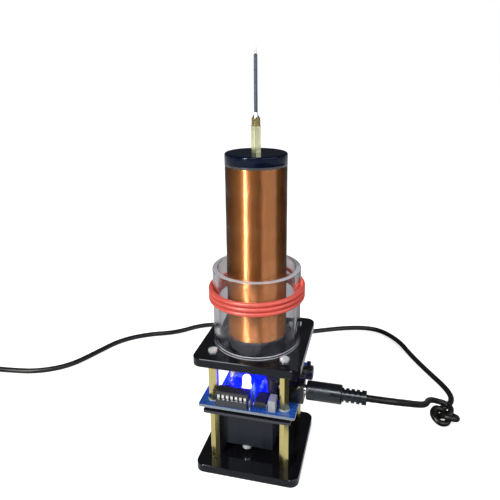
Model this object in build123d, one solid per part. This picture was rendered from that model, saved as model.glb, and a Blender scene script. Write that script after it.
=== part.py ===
from build123d import *
import math
import os

# A desktop resonant transformer: two black acrylic decks on brass posts with the driver board between
# them, a heat sink under the board, and a tall secondary coil with a discharge needle on top.
# Millimetres. The origin is the centre of the base plate's underside, +Z is up, the front is -Y and
# the power jack is on +X.

# Decks and posts: the decks are wide enough for the clear tube and its winding
former_outer = 50.0
deck_border = 5.0
plate_width = former_outer + 2 * deck_border
plate_thickness = 5.0
plate_corner = 5.0
plate_edge = 0.3
post_inset = 9.6
post_spacing = plate_width - 2 * post_inset
post_flats = 5.0
lower_post_length = 33.0
upper_post_length = 25.0
post_chamfer = 0.4
# Tightened by hand, so each post stands at its own angle
lower_post_turns = (20, 47, 11, 33)
upper_post_turns = (0, 25, 11, 40)

# M3 screws, nuts and studs
thread = 3.0
thread_gap = 0.05
screw_hole = thread + 0.3
pan_head = thread + 2.2
pan_height = 2.0
cross_width = 0.9
cross_span = 3.2
cross_depth = 1.2
flat_head = thread + 2.8
flat_head_sunk = 0.1
deck_screw_reach = 8.0
stud_length = 9.0
nut_flats = thread + 2.5
nut_height = 2.4
thin_nut_height = 1.8

# Driver board and the sheet below it
board_inset = 2.5
board_width = plate_width - 2 * board_inset
board_thickness = 1.6
board_corner = 1.0
sheet_side_inset = 2.5
sheet_end_inset = 0.5
sheet_width = board_width - 2 * sheet_side_inset
sheet_depth = board_width - 2 * sheet_end_inset
sheet_thickness = 1.6
notch_front = -10.0
notch_back = 16.0
board_notch_edge = -20.0
sheet_notch_edge = -21.5
lead = 0.6
lead_stub = 1.0
solder_foot = 1.9

# Heat sink: an upright box extrusion with channels between its fins
sink_width = 31.6
sink_depth = 24.0
sink_clearance = 5.0
sink_height = lower_post_length - sink_clearance
sink_wall = 2.2
sink_fin = 1.4
sink_channels = 7
sink_boss = thread + 2.2
sink_x = -3.2
sink_y = -3.0

# Power transistors on the heat sink's back
pad_thickness = 0.3
tab_width = 10.0
tab_thickness = 1.3
tab_height = 6.7
case_height = 9.2
case_thickness = 4.5
tab_hole = thread + 0.6
transistor_spread = 7.6
transistor_drop = 8.5
lead_pitch = 2.54

# Dual-in-line packages
row_spacing = 7.62
chip_body_width = 6.35
chip_body_height = 3.3
pin_shoulder = 1.45
pin_tip = 0.5
pin_sheet = 0.25
socket_width = 10.16
socket_height = 4.2
socket_rail = 2.9
logic_length = 18.7
driver_length = 9.6
logic_x, logic_y = -8.35, -21.9
driver_x, driver_y = 7.4, -19.6

# Lamp and resistors
led_x, led_y = -4.5, -8.0
led_flange_height = 1.2
resistor_body = 1.9
resistor_cap = 2.3
resistor_lift = 1.5

# Power jack and plug
jack_y = -10.0
jack_axis_height = 6.5
jack_face = plate_width / 2
jack_width = 9.0
jack_height = 11.0
jack_length = 14.0
jack_collar = 3.4
jack_bore = 6.4
jack_bore_depth = 9.5
jack_pin = 2.0
plug_gap = 1.4
plug_barrel = 5.5
plug_barrel_bore = 2.5
plug_reach = 8.6
plug_body = 10.6
plug_length = 19.7
relief_body = 7.7
relief_length = 13.4
relief_grooves = 4
groove_width = 1.1
groove_depth = 0.8

# Tuning potentiometer
pot_y = 5.5
pot_axis_height = 7.6
pot_width = 9.6
pot_height = 11.6
pot_inset = 10.5
pot_back = jack_face - pot_inset
pot_length = 6.3
bushing = 6.8
bushing_length = 2.4
shaft = 6.0
shaft_gap = 0.05
knob_gap = 0.4
knob_diameter = 8.4
knob_length = 4.0
knob_flutes = 16
flute = 0.7
pointer_reach = 6.9
pointer_width = 1.8

# Primary: a clear tube with three turns of thick wire
former_wall = 3.0
former_height = 44.6
primary_wire = 2.3
primary_turn_gap = 0.45
primary_pitch = primary_wire + primary_turn_gap
primary_gap = 0.3
primary_turns = 3
primary_low = 26.4
lead_angle = 12.0
lead_bend = 3.4
lead_step_gap = 0.6
lead_step_out = primary_wire + lead_step_gap

# Secondary: a black pipe wound with one layer of fine wire, tape at both ends, cap on top
pipe_outer = 33.0
pipe_wall = 2.5
winding_thickness = 0.35
winding_gap = 0.02
winding_bottom = 5.9
winding_length = 96.8
tape_width = 1.2
tape_thickness = 0.25
cap_outer = pipe_outer + 0.9
cap_height = 5.4
cap_round = 0.9
spigot_length = 8.0
spigot_wall = 2.0
spigot_gap = 0.1
foot_plug_height = 8.0
end_wire = 0.8

# Discharge terminal
terminal_length = 15.0
terminal_recess = 0.8
terminal_turn = 14.0
terminal_stud = 3.4
ferrule_outer = thread + 1.2
ferrule_length = 4.1
solder_height = 2.7
needle = 1.0
needle_tip = 4.0
needle_end_radius = 0.12
needle_above_solder = 34.2
sleeve_outer = 1.9
sleeve_length = 29.4

# Supply cord
cord = 3.8
knot_x, knot_y = 114.5, 49.0
knot_radius = 6.2
knot_swing = 2.8
knot_rise = 2.7
knot_turned = 100.0
knot_step = 20
coil_x, coil_y = -231.5, 1.0
coil_middle = 20.9
coil_gap = 0.5
coil_pitch = cord + coil_gap
coil_layer = cord + coil_gap
coil_start = 100
coil_end = 1260
tie_strap = 0.5
tie_width = 6.0
tie_gap = 0.45
tie_angle = 150
socket_body = 12.6
socket_length = 26.0
socket_relief = 10.0
socket_bore_depth = 9.5

# Heights of what is stacked, from the table up
base_top = plate_thickness
sheet_bottom = base_top + lower_post_length
transistor_top = sheet_bottom - transistor_drop
sheet_top = sheet_bottom + sheet_thickness
board_bottom = sheet_top + nut_height
board_top = board_bottom + board_thickness
deck_bottom = board_top + upper_post_length
deck_top = deck_bottom + plate_thickness
winding_low = deck_top + winding_bottom
winding_high = winding_low + winding_length
pipe_top = winding_high + tape_width
cap_top = pipe_top + cap_height
terminal_top = cap_top - terminal_recess + terminal_length
ferrule_top = terminal_top + ferrule_length
solder_top = ferrule_top + solder_height

jack_z = board_top + jack_axis_height
pot_z = board_top + pot_axis_height
plug_start = jack_face + plug_gap
plug_end = plug_start + plug_length
cord_start = plug_end + relief_length
pipe_radius = pipe_outer / 2
winding_radius = pipe_radius + winding_gap + winding_thickness
primary_radius = (former_outer + primary_wire) / 2 + primary_gap
thread_bore = thread / 2 + thread_gap
corners = [(x, y) for x in (-1, 1) for y in (-1, 1)]
post_places = [(x * post_spacing / 2, y * post_spacing / 2) for x, y in corners]

written = []


def save(name, *solids):
    shape = solids[0] if len(solids) == 1 else Compound(children=list(solids))
    export_step(shape, f"parts/{name}.step")
    written.append(name)


def box(low, high):
    size = [b - a for a, b in zip(low, high)]
    return Pos(*low) * Box(*size, align=Align.MIN)


def rod(diameter, low, high):
    # An upright round bar on the Z axis.
    return Pos(0, 0, low) * Cylinder(diameter / 2, high - low, align=(Align.CENTER, Align.CENTER, Align.MIN))


def pipe(outer, inner, low, high):
    return rod(outer, low, high) - rod(inner, low - 1, high + 1)


def along_x(shape):
    # Turns a shape made on the Z axis so that its +Z points to +X.
    return Rot(0, 90, 0) * shape


# Screws, nuts and posts

def pan_screw(length):
    # Head above z = 0, shank below it.
    head = rod(pan_head, 0, pan_height)
    head = chamfer(head.edges().group_by(Axis.Z)[-1], pan_height * 0.4)
    floor = pan_height - cross_depth
    for angle in (0, 90):
        head -= Rot(0, 0, angle) * box((-cross_span / 2, -cross_width / 2, floor),
                                       (cross_span / 2, cross_width / 2, pan_height))
    return head + rod(thread, -length, 0)


def flat_screw(length):
    # Countersunk head with its face at z = 0 and its shank upwards.
    cone_height = (flat_head - thread) / 2
    head = Cone(flat_head / 2, thread / 2, cone_height, align=(Align.CENTER, Align.CENTER, Align.MIN))
    for angle in (0, 90):
        head -= Rot(0, 0, angle) * box((-cross_span / 2, -cross_width / 2, 0),
                                       (cross_span / 2, cross_width / 2, cone_height / 2))
    return head + rod(thread, cone_height, length)


def hexagon(flats, low, high):
    outline = RegularPolygon(flats / 2, 6, major_radius=False, rotation=30)
    return Pos(0, 0, low) * extrude(outline, high - low)


def chamfered_hexagon(flats, low, high, chamfer_size):
    # Both ends are turned down, as on a bar that is cut on a lathe.
    across_corners = flats / math.cos(math.pi / 6)
    turned = rod(across_corners, low, high)
    turned = chamfer(turned.edges().group_by(Axis.Z)[0] + turned.edges().group_by(Axis.Z)[-1], chamfer_size)
    return hexagon(flats, low, high) & turned


def nut(height):
    return chamfered_hexagon(nut_flats, 0, height, post_chamfer) - rod(2 * thread_bore, -1, height + 1)


def lower_post():
    body = chamfered_hexagon(post_flats, base_top, sheet_bottom, post_chamfer)
    body -= rod(2 * thread_bore, base_top - 1, base_top + deck_screw_reach)
    stud = chamfer(rod(thread, 0, stud_length).edges().group_by(Axis.Z)[-1], post_chamfer)
    return body + Pos(0, 0, sheet_bottom) * stud


def upper_post():
    body = chamfered_hexagon(post_flats, board_top, deck_bottom, post_chamfer)
    return body - rod(2 * thread_bore, board_top - 1, deck_bottom + 1)


# Decks, sheet and board

def deck(bottom):
    plate = extrude(RectangleRounded(plate_width, plate_width, plate_corner), plate_thickness)
    plate = chamfer(plate.edges().group_by(Axis.Z)[0] + plate.edges().group_by(Axis.Z)[-1], plate_edge)
    return Pos(0, 0, bottom) * plate


def base_plate():
    cone_height = (flat_head - thread) / 2
    grow = (screw_hole - thread) / 2
    sink = Cone(flat_head / 2 + grow, thread / 2 + grow, cone_height,
                align=(Align.CENTER, Align.CENTER, Align.MIN))
    countersink = rod(screw_hole, 0, base_top) + Pos(0, 0, flat_head_sunk) * sink
    countersink += rod(flat_head + 2 * grow, 0, flat_head_sunk)
    plate = deck(0)
    for x, y in post_places:
        plate -= Pos(x, y, 0) * countersink
    return plate


def lead_place(side):
    # Where the primary's two leads pass the deck and reach the board: side is -1 or 1.
    angle = math.radians(90 - side * lead_angle)
    return primary_radius * math.cos(angle), primary_radius * math.sin(angle)


def earth_wire_y():
    return winding_radius + end_wire / 2 + primary_gap


def top_plate():
    plate = deck(deck_bottom)
    for x, y in post_places + [(0, 0)]:
        plate -= Pos(x, y, 0) * rod(screw_hole, deck_bottom, deck_top)
    for side in (-1, 1):
        plate -= Pos(*lead_place(side), 0) * rod(primary_wire + 2 * primary_gap, deck_bottom, deck_top)
    return plate - Pos(0, earth_wire_y(), 0) * rod(end_wire + 2 * primary_gap, deck_bottom, deck_top)


def notched_sheet(width, depth, edge, bottom, thickness):
    # The wiring notch in the left side lets wires pass down behind the front post.
    sheet = Pos(0, 0, bottom) * extrude(RectangleRounded(width, depth, board_corner), thickness)
    sheet -= box((-width, notch_front, bottom), (edge, notch_back, bottom + thickness))
    for x, y in post_places:
        sheet -= Pos(x, y, 0) * rod(screw_hole, bottom, bottom + thickness)
    return sheet


def sink_screw_places():
    reach = sink_depth / 2 - sink_boss / 2 + sink_wall / 4
    return [(sink_x, sink_y - reach), (sink_x, sink_y + reach)]


def transistor_places():
    return [sink_x - transistor_spread, sink_x + transistor_spread]


def lead_plane():
    return sink_y + sink_depth / 2 + pad_thickness + case_thickness / 2


def carrier_sheet():
    sheet = notched_sheet(sheet_width, sheet_depth, sheet_notch_edge, sheet_bottom, sheet_thickness)
    for x, y in sink_screw_places():
        sheet -= Pos(x, y, 0) * rod(screw_hole, sheet_bottom, sheet_top)
    slot = (lead_pitch + lead, lead)
    for x in transistor_places():
        low = (x - slot[0] - lead, lead_plane() - 2 * slot[1], sheet_bottom)
        high = (x + slot[0] + lead, lead_plane() + 2 * slot[1], sheet_top)
        sheet -= box(low, high)
    return sheet


# Heat sink and power transistors

def heat_sink():
    outline = Rectangle(sink_width, sink_depth)
    channel = (sink_width - (sink_channels + 1) * sink_fin) / sink_channels
    for i in range(sink_channels):
        x = (i - (sink_channels - 1) / 2) * (channel + sink_fin)
        outline -= Pos(x, 0) * Rectangle(channel, sink_depth - 2 * sink_wall)
    for x, y in sink_screw_places():
        outline += Pos(x - sink_x, y - sink_y) * Circle(sink_boss / 2)
    outline &= Rectangle(sink_width, sink_depth)
    for x, y in sink_screw_places():
        outline -= Pos(x - sink_x, y - sink_y) * Circle(thread_bore)
    bottom = sheet_bottom - sink_height
    sink = Pos(sink_x, sink_y, bottom) * extrude(outline, sink_height)
    back = sink_y + sink_depth / 2
    for x in transistor_places():
        sink -= Pos(x, back, tab_screw_height()) * Rot(90, 0, 0) * rod(2 * thread_bore, 0, sink_wall + 1)
    return sink


def tab_screw_height():
    return transistor_top - case_height - tab_height / 2


def transistor(x):
    back = sink_y + sink_depth / 2 + pad_thickness
    low = transistor_top - case_height
    case = box((x - tab_width / 2, back, low), (x + tab_width / 2, back + case_thickness, transistor_top))
    case = chamfer(case.faces().sort_by(Axis.Y)[-1].edges(), 0.4)
    tab = box((x - tab_width / 2, back, low - tab_height), (x + tab_width / 2, back + tab_thickness, low))
    tab -= Pos(x, back - 1, tab_screw_height()) * Rot(-90, 0, 0) * rod(tab_hole, 0, tab_thickness + 2)
    shape = case + tab
    for i in (-1, 0, 1):
        pin = Pos(x + i * lead_pitch, lead_plane(), (transistor_top + board_bottom) / 2)
        shape += pin * Box(lead, lead, board_bottom - transistor_top)
    return shape


def insulating_pad(x):
    back = sink_y + sink_depth / 2
    low = transistor_top - case_height - tab_height
    pad = box((x - tab_width / 2 - 0.5, back, low - 0.5), (x + tab_width / 2 + 0.5, back + pad_thickness,
                                                       transistor_top + 0.5))
    return pad - Pos(x, back - 1, tab_screw_height()) * Rot(-90, 0, 0) * rod(tab_hole, 0, pad_thickness + 2)


def transistor_screw(x):
    face = sink_y + sink_depth / 2 + pad_thickness + tab_thickness
    reach = pad_thickness + tab_thickness + sink_wall - thread_gap
    return Pos(x, face, tab_screw_height()) * Rot(-90, 0, 0) * pan_screw(reach)


def sink_screw(x, y):
    head_face = sheet_bottom - sink_height
    reach = sink_height + sheet_thickness + thin_nut_height
    return Pos(x, y, head_face) * Rot(180, 0, 0) * pan_screw(reach)


# Parts on the board

def pin_row(pin_count):
    half = pin_count // 2
    return [(i - (half - 1) / 2) * lead_pitch for i in range(half)]


def dip_chip(pin_count, length, stand, leg):
    # Body with drafted sides, an index notch and bent pins; z = 0 is what it stands above.
    half = chip_body_height / 2
    middle = stand + half
    plan = Rectangle(length, chip_body_width)
    body = Pos(0, 0, middle) * (extrude(plan, half, taper=8) + extrude(plan, -half, taper=8))
    body -= Pos(-length / 2, 0, 0) * rod(1.8, middle + half - 0.5, middle + half + 1)
    for x in pin_row(pin_count):
        for side in (-1, 1):
            foot = side * row_spacing / 2
            shoulder = chip_body_width / 2 - 0.4
            arm_middle = side * (shoulder + row_spacing / 2) / 2
            arm = Pos(x, arm_middle, middle) * Box(pin_shoulder, row_spacing / 2 - shoulder, pin_sheet)
            wide = Pos(x, foot, middle - 0.9) * Box(pin_shoulder, pin_sheet, 1.8 + pin_sheet)
            tip = Pos(x, foot, (middle + leg) / 2) * Box(pin_tip, pin_sheet, middle - leg)
            body += [arm, wide, tip]
    return body


def dip_socket(pin_count):
    length = pin_count / 2 * lead_pitch
    frame = Pos(0, 0, socket_height / 2) * Box(length, socket_width, socket_height)
    frame -= Pos(0, 0, socket_height / 2) * Box(length - 5, socket_width - 2 * socket_rail, socket_height)
    frame -= Pos(-length / 2, 0, 0) * rod(2.4, socket_height - 1.2, socket_height + 1)
    contact_depth = 2.6
    for x in pin_row(pin_count):
        for side in (-1, 1):
            slot = Pos(x, side * row_spacing / 2, socket_height - contact_depth / 2)
            frame -= slot * Box(1.0, 0.8, contact_depth)
    return frame


def logic_chip():
    stand = socket_height + 0.5
    leg = socket_height - 2.0
    return Pos(logic_x, logic_y, board_top) * dip_chip(14, logic_length, stand, leg)


def gate_driver():
    return Pos(driver_x, driver_y, board_top) * Rot(0, 0, 90) * dip_chip(8, driver_length, 1.1, 0)


def can(diameter, height):
    # An aluminium can with a crimped waist and a rounded rim.
    radius = diameter / 2
    side = [(0, 0), (radius, 0), (radius, 1.2), (radius - 0.35, 1.9), (radius, 2.6), (radius, height - 0.5),
            (radius - 0.5, height), (0, height)]
    profile = make_face(Plane.XZ * Polyline(*side, close=True))
    return revolve(profile, Axis.Z)


def electrolytics():
    places = [(11.8, -10.6, 8.0, 11.5), (11.0, 13.5, 10.0, 16.0), (-5.5, 17.5, 8.0, 11.5)]
    return [Pos(x, y, board_top) * can(wide, high) for x, y, wide, high in places]


def film_capacitor():
    block = box((12.2, -25.4, board_top), (16.2, -18.2, board_top + 6.6))
    return fillet(block.edges().filter_by(Axis.Z) + block.faces().sort_by(Axis.Z)[-1].edges(), 0.35)


def status_led():
    # A 5 mm lamp on two short leads.
    low = led_flange_height
    lens = rod(5.0, low, low + 5.6) + Pos(0, 0, low + 5.6) * Sphere(2.5) + rod(5.9, low, low + 1.0)
    lens -= box((-4, -2.9, low), (-2.6, 2.9, low + 1.0))
    for x in (-lead_pitch / 2, lead_pitch / 2):
        lens += Pos(x, 0, low / 2) * Box(lead, lead, low)
    return Pos(led_x, led_y, board_top) * lens


def ceramic_disc(x, y, turned):
    disc = Rot(90, 0, 0) * Cylinder(2.4, 1.8)
    disc = Pos(0, 0, 3.6) * chamfer(disc.edges(), 0.6)
    for side in (-lead_pitch / 2, lead_pitch / 2):
        disc += Pos(side, 0, 1.2) * Box(lead, lead, 2.4)
    return Pos(x, y, board_top) * Rot(0, 0, turned) * disc


def resistor_coat():
    return rod(resistor_body, -2.2, 2.2) + rod(resistor_cap, -3.1, -1.9) + rod(resistor_cap, 1.9, 3.1)


def resistor(x, y, turned):
    # Body lying above the board, with both leads bent down into it.
    span = 2 * lead_pitch
    bar = Box(2 * span + lead, lead, lead)
    legs = [Pos(side * span, 0, -resistor_lift / 2) * Box(lead, lead, resistor_lift) for side in (-1, 1)]
    shape = along_x(resistor_coat()) + bar + legs
    return Pos(x, y, board_top + resistor_lift) * Rot(0, 0, turned) * shape


def standing_resistor(x, y, turned):
    # Body upright on one leg, with its upper lead bent over and down to the board.
    middle = 4.2
    top = middle + 5.2
    shape = Pos(0, 0, middle) * resistor_coat() + Pos(0, 0, top / 2) * Box(lead, lead, top)
    shape += Pos(lead_pitch / 2, 0, top) * Box(lead_pitch + lead, lead, lead)
    shape += Pos(lead_pitch, 0, top / 2) * Box(lead, lead, top)
    return Pos(x, y, board_top) * Rot(0, 0, turned) * shape


def regulator():
    # A three-legged regulator standing at the back of the board.
    x, y, stand = -12.5, 9.0, 3.0
    case = box((-5, -2.2, stand), (5, 2.2, stand + case_height))
    tab = box((-5, 1.0, stand + case_height), (5, 2.2, stand + case_height + 6))
    tab -= Pos(0, 0, stand + case_height + 3) * Rot(-90, 0, 0) * rod(tab_hole, 0, 4)
    shape = chamfer(case.faces().sort_by(Axis.Y)[0].edges(), 0.4) + tab
    for i in (-1, 0, 1):
        shape += Pos(i * lead_pitch, 0, stand / 2) * Box(lead, lead, stand)
    return Pos(x, y, board_top) * shape


def solder_joint(x, y):
    cone = extrude(RegularPolygon(solder_foot / 2, 8), -lead_stub, taper=25)
    return Pos(x, y, board_bottom) * cone


def solder_joints():
    places = [(logic_x + x, logic_y + side * row_spacing / 2) for x in pin_row(14) for side in (-1, 1)]
    places += [(driver_x + side * row_spacing / 2, driver_y + x) for x in pin_row(8) for side in (-1, 1)]
    return [solder_joint(x, y) for x, y in places]


# Power jack, plug and tuning control

def power_jack():
    face, back = jack_face, jack_face - jack_length
    top = board_top + jack_height
    collar = box((face - jack_collar, jack_y - jack_width / 2, board_top), (face, jack_y + jack_width / 2, top))
    collar = chamfer(collar.edges().filter_by(Axis.X).group_by(Axis.Z)[-1], 1.2)
    barrel_width = jack_width - 0.6
    body = box((back, jack_y - barrel_width / 2, board_top), (face - jack_collar, jack_y + barrel_width / 2, jack_z))
    body += Pos(back, jack_y, jack_z) * along_x(rod(barrel_width, 0, jack_length - jack_collar))
    bore = rod(jack_bore, -jack_bore_depth, 1) - rod(jack_pin, -jack_bore_depth, -1.0)
    return (collar + body) - Pos(face, jack_y, jack_z) * along_x(bore)


def barrel_contact():
    tube = pipe(plug_barrel, plug_barrel_bore, -plug_reach, plug_gap)
    tip = tube.edges().filter_by(GeomType.CIRCLE).group_by(Axis.Z)[0].sort_by(SortBy.RADIUS)[-1]
    return Pos(jack_face, jack_y, jack_z) * along_x(chamfer(tip, 0.4))


def moulded_plug(body, length, relief, relief_long, grooves):
    # A moulded plug or socket body on the Z axis, with a ribbed relief where the cord leaves it.
    shape = fillet(rod(body, 0, length).edges(), 0.7) + rod(relief, length - 1, length + relief_long)
    pitch = relief_long / (grooves + 0.6)
    for i in range(grooves):
        low = length + (i + 0.35) * pitch
        shape -= pipe(relief + 1, relief - 2 * groove_depth, low, low + groove_width)
    return shape


def dc_plug():
    shape = moulded_plug(plug_body, plug_length, relief_body, relief_length, relief_grooves)
    return Pos(plug_start, jack_y, jack_z) * along_x(shape)


def potentiometer():
    front = pot_back + pot_length
    body = box((pot_back, pot_y - pot_width / 2, board_top), (front, pot_y + pot_width / 2, board_top + pot_height))
    body = chamfer(body.edges().filter_by(Axis.X).group_by(Axis.Z)[-1], 1.0)
    neck = rod(bushing, 0, bushing_length)
    bore = rod(shaft + 2 * shaft_gap, -pot_length + 1, bushing_length + 1)
    return body + Pos(front, pot_y, pot_z) * along_x(neck) - Pos(front, pot_y, pot_z) * along_x(bore)


def knob_face():
    return pot_back + pot_length + bushing_length + knob_gap


def tuning_shaft():
    low = pot_back + 1 + shaft_gap
    high = knob_face() + knob_length - 1
    return Pos(low, pot_y, pot_z) * along_x(chamfer(rod(shaft, 0, high - low).edges(), 0.3))


def tuning_knob():
    # A fluted knob whose pointer stands out to one side.
    knob = rod(knob_diameter, 0, knob_length)
    knob = chamfer(knob.edges().group_by(Axis.Z)[-1], 0.5)
    for i in range(knob_flutes):
        angle = math.radians(i * 360 / knob_flutes)
        centre = (knob_diameter / 2 * math.cos(angle), knob_diameter / 2 * math.sin(angle), 0)
        knob -= Pos(*centre) * rod(flute, 0.8, knob_length + 1)
    knob += box((-pointer_reach, -pointer_width / 2, 0.3), (-shaft / 2 - 0.6, pointer_width / 2, knob_length - 1.4))
    knob -= rod(shaft + 2 * shaft_gap, -1, knob_length - 1 + shaft_gap)
    return Pos(knob_face(), pot_y, pot_z) * along_x(knob)


# Paths of round wire

def biarc(start, start_way, end, end_way):
    # Two arcs that leave start along start_way and reach end along end_way, or one straight line.
    chord = end - start
    if start_way.get_angle(chord) < 0.01 and end_way.get_angle(chord) < 0.01:
        return [Edge.make_line(start, end)]
    both = start_way + end_way
    spread = 2 * (1 - start_way.dot(end_way))
    across = chord.dot(both)
    if spread < 1e-9:
        reach = chord.dot(chord) / (2 * across)
    else:
        reach = (math.sqrt(across ** 2 + spread * chord.dot(chord)) - across) / spread
    near, far = start + start_way * reach, end - end_way * reach
    middle = (near + far) * 0.5
    return [Edge.make_tangent_arc(start, start_way, middle), Edge.make_tangent_arc(middle, far - near, end)]


def smooth_path(stations):
    # Stations are (point, direction) pairs.
    edges = []
    for (start, start_way), (end, end_way) in zip(stations, stations[1:]):
        edges += biarc(start, start_way, end, end_way)
    return Wire(edges)


def tube(path, diameter):
    return sweep(Plane(origin=path @ 0, z_dir=path % 0) * Circle(diameter / 2), path=path)


def report_gap(name, path, diameter, samples=360):
    # The least gap between two places of one tube that are over four diameters apart along it.
    points = [path @ (i / samples) for i in range(samples + 1)]
    apart = math.ceil(4 * diameter / (path.length / samples))
    pairs = [(a, b) for a in range(samples + 1) for b in range(a + apart, samples + 1)]
    least = min((points[a] - points[b]).length for a, b in pairs) - diameter
    print(f"{name}: {path.length:.1f} mm long, least gap to itself {least:.2f} mm")


def curve_station(curve, angle):
    # Point and direction of a curve, given by a function of an angle in degrees.
    step = 0.5
    return curve(angle), (curve(angle + step) - curve(angle - step)).normalized()


# Primary winding

def primary_point(angle):
    height = primary_low + primary_pitch * (angle - 90 - lead_angle) / 360
    turned = math.radians(angle)
    return Vector(primary_radius * math.cos(turned), primary_radius * math.sin(turned), deck_top + height)


def primary_path():
    up, down = Vector(0, 0, 1), Vector(0, 0, -1)
    bend = math.degrees(lead_bend / primary_radius)
    first, last = 90 + lead_angle + bend, 90 - lead_angle + 360 * primary_turns - bend
    start_x, start_y = lead_place(-1)
    end_x, end_y = lead_place(1)
    foot = Vector(start_x, start_y, board_top)
    rise = Vector(start_x, start_y, primary_point(first).Z - lead_bend)
    angles = [first]
    while angles[-1] + 180 < last:
        angles.append(angles[-1] + 180)
    angles[-1:] = [(angles[-2] + last) / 2]
    stations = [(foot, up), (rise, up)] + [curve_station(primary_point, a) for a in angles]
    # The upper end steps out over the turn below it, goes down past them all and in again.
    outward = Vector(end_x, end_y, 0).normalized() * lead_step_out
    shoulder, shoulder_way = curve_station(primary_point, last)
    out_top = Vector(end_x, end_y, shoulder.Z - lead_bend) + outward
    out_low = Vector(end_x, end_y, deck_top + primary_low - 1) + outward
    in_low = Vector(end_x, end_y, out_low.Z - 2 * lead_bend)
    stations += [(shoulder + outward, shoulder_way), (out_top, down), (out_low, down), (in_low, down)]
    stations.append((Vector(end_x, end_y, board_top), down))
    return smooth_path(stations)


def primary_winding():
    path = primary_path()
    report_gap("primary winding", path, primary_wire)
    return tube(path, primary_wire)


# Secondary coil and discharge terminal

def secondary_pipe():
    shape = pipe(pipe_outer, pipe_outer - 2 * pipe_wall, deck_top, pipe_top)
    hole = rod(end_wire + 2 * spigot_gap, 0, pipe_outer)
    return shape - Pos(0, 0, top_wire_height()) * Rot(-90, 0, 0) * hole


def top_wire_height():
    return pipe_top - spigot_length - 2.5


def end_tapes():
    outer = pipe_outer + 2 * (winding_gap + winding_thickness + tape_thickness) - 0.4
    inner = pipe_outer + 2 * winding_gap
    return [pipe(outer, inner, winding_high, pipe_top), pipe(outer, inner, winding_low - tape_width, winding_low)]


def top_cap():
    spigot = pipe_outer - 2 * pipe_wall - 2 * spigot_gap
    cap = rod(cap_outer, pipe_top, cap_top)
    cap = fillet(cap.edges().group_by(Axis.Z)[-1], cap_round)
    cap += pipe(spigot, spigot - 2 * spigot_wall, pipe_top - spigot_length, pipe_top)
    recess = hexagon(post_flats + 2 * spigot_gap, cap_top - terminal_recess, cap_top + 1)
    return cap - Rot(0, 0, terminal_turn) * recess - rod(screw_hole, pipe_top - 1, cap_top)


def foot_plug():
    plug = rod(pipe_outer - 2 * pipe_wall - 2 * spigot_gap, deck_top, deck_top + foot_plug_height)
    plug = chamfer(plug.edges().group_by(Axis.Z)[-1], 0.6)
    return plug - rod(2 * thread_bore, deck_top - 1, deck_top + foot_plug_height + 1)


def foot_screw():
    return Pos(0, 0, deck_bottom) * Rot(180, 0, 0) * pan_screw(plate_thickness + foot_plug_height - 1)


def end_wires():
    # The upper end goes in through the pipe to the terminal's screw, the lower one down to the board.
    height = top_wire_height()
    screw_face = pipe_top - pan_height
    start = pipe_radius - 2 * winding_gap
    route = FilletPolyline((0, start, height), (0, 1.4, height), (0, 1.4, screw_face), radius=1.0)
    upper = sweep(Plane(origin=route @ 0, z_dir=route % 0) * Circle(end_wire / 2), path=route)
    lower = Pos(0, earth_wire_y(), 0) * rod(end_wire, board_top, winding_low + 2)
    return [upper, lower]


def terminal_post():
    low = cap_top - terminal_recess
    body = Rot(0, 0, terminal_turn) * chamfered_hexagon(post_flats, low, terminal_top, post_chamfer)
    return body - rod(2 * thread_bore, low - 1, low + deck_screw_reach) + rod(thread, terminal_top,
                                                                             terminal_top + terminal_stud)


def terminal_screw():
    reach = cap_height - terminal_recess + deck_screw_reach - 1
    return Pos(0, 0, pipe_top) * Rot(180, 0, 0) * pan_screw(reach)


def needle_ferrule():
    body = pipe(ferrule_outer, 2 * thread_bore, terminal_top, ferrule_top)
    groove_low = terminal_top + ferrule_length / 2 - 0.4
    return body - pipe(ferrule_outer + 1, ferrule_outer - 0.5, groove_low, groove_low + 0.8)


def discharge_needle():
    low = terminal_top + terminal_stud + 0.1
    high = solder_top + needle_above_solder
    shank = rod(needle, low, high - needle_tip)
    point = Cone(needle / 2, needle_end_radius, needle_tip, align=(Align.CENTER, Align.CENTER, Align.MIN))
    return shank + Pos(0, 0, high - needle_tip) * point


def solder_cone():
    base_radius = ferrule_outer / 2 - 0.1
    profile = Plane.XZ * make_face(
        Line((needle / 2, 0), (base_radius, 0))
        + ThreePointArc((base_radius, 0), (base_radius * 0.62, solder_height * 0.52), (needle / 2 + 0.25, solder_height))
        + Line((needle / 2 + 0.25, solder_height), (needle / 2, solder_height))
        + Line((needle / 2, solder_height), (needle / 2, 0)))
    return Pos(0, 0, ferrule_top) * revolve(profile, Axis.Z)


def needle_sleeve():
    return pipe(sleeve_outer, needle + 2 * winding_gap, solder_top, solder_top + sleeve_length)


# Supply cord: plug, knot, the run behind the object, and the put-away coil

def knot_point(turn):
    # A trefoil that is cut at one lobe: the cord comes in on top, heading along it, and leaves below.
    angle = math.radians(knot_turned - 2 * turn)
    radius = knot_radius + knot_swing * math.cos(math.radians(3 * turn))
    rise = knot_rise * math.sin(math.radians(3 * turn))
    if turn < 30:
        rise = knot_rise
    if turn > 330:
        rise = -knot_rise
    height = cord / 2 + knot_rise + rise
    return Vector(knot_x + radius * math.cos(angle), knot_y + radius * math.sin(angle), height)


knot_points = [knot_point(turn) for turn in range(knot_step // 2, 360, knot_step)]
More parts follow.
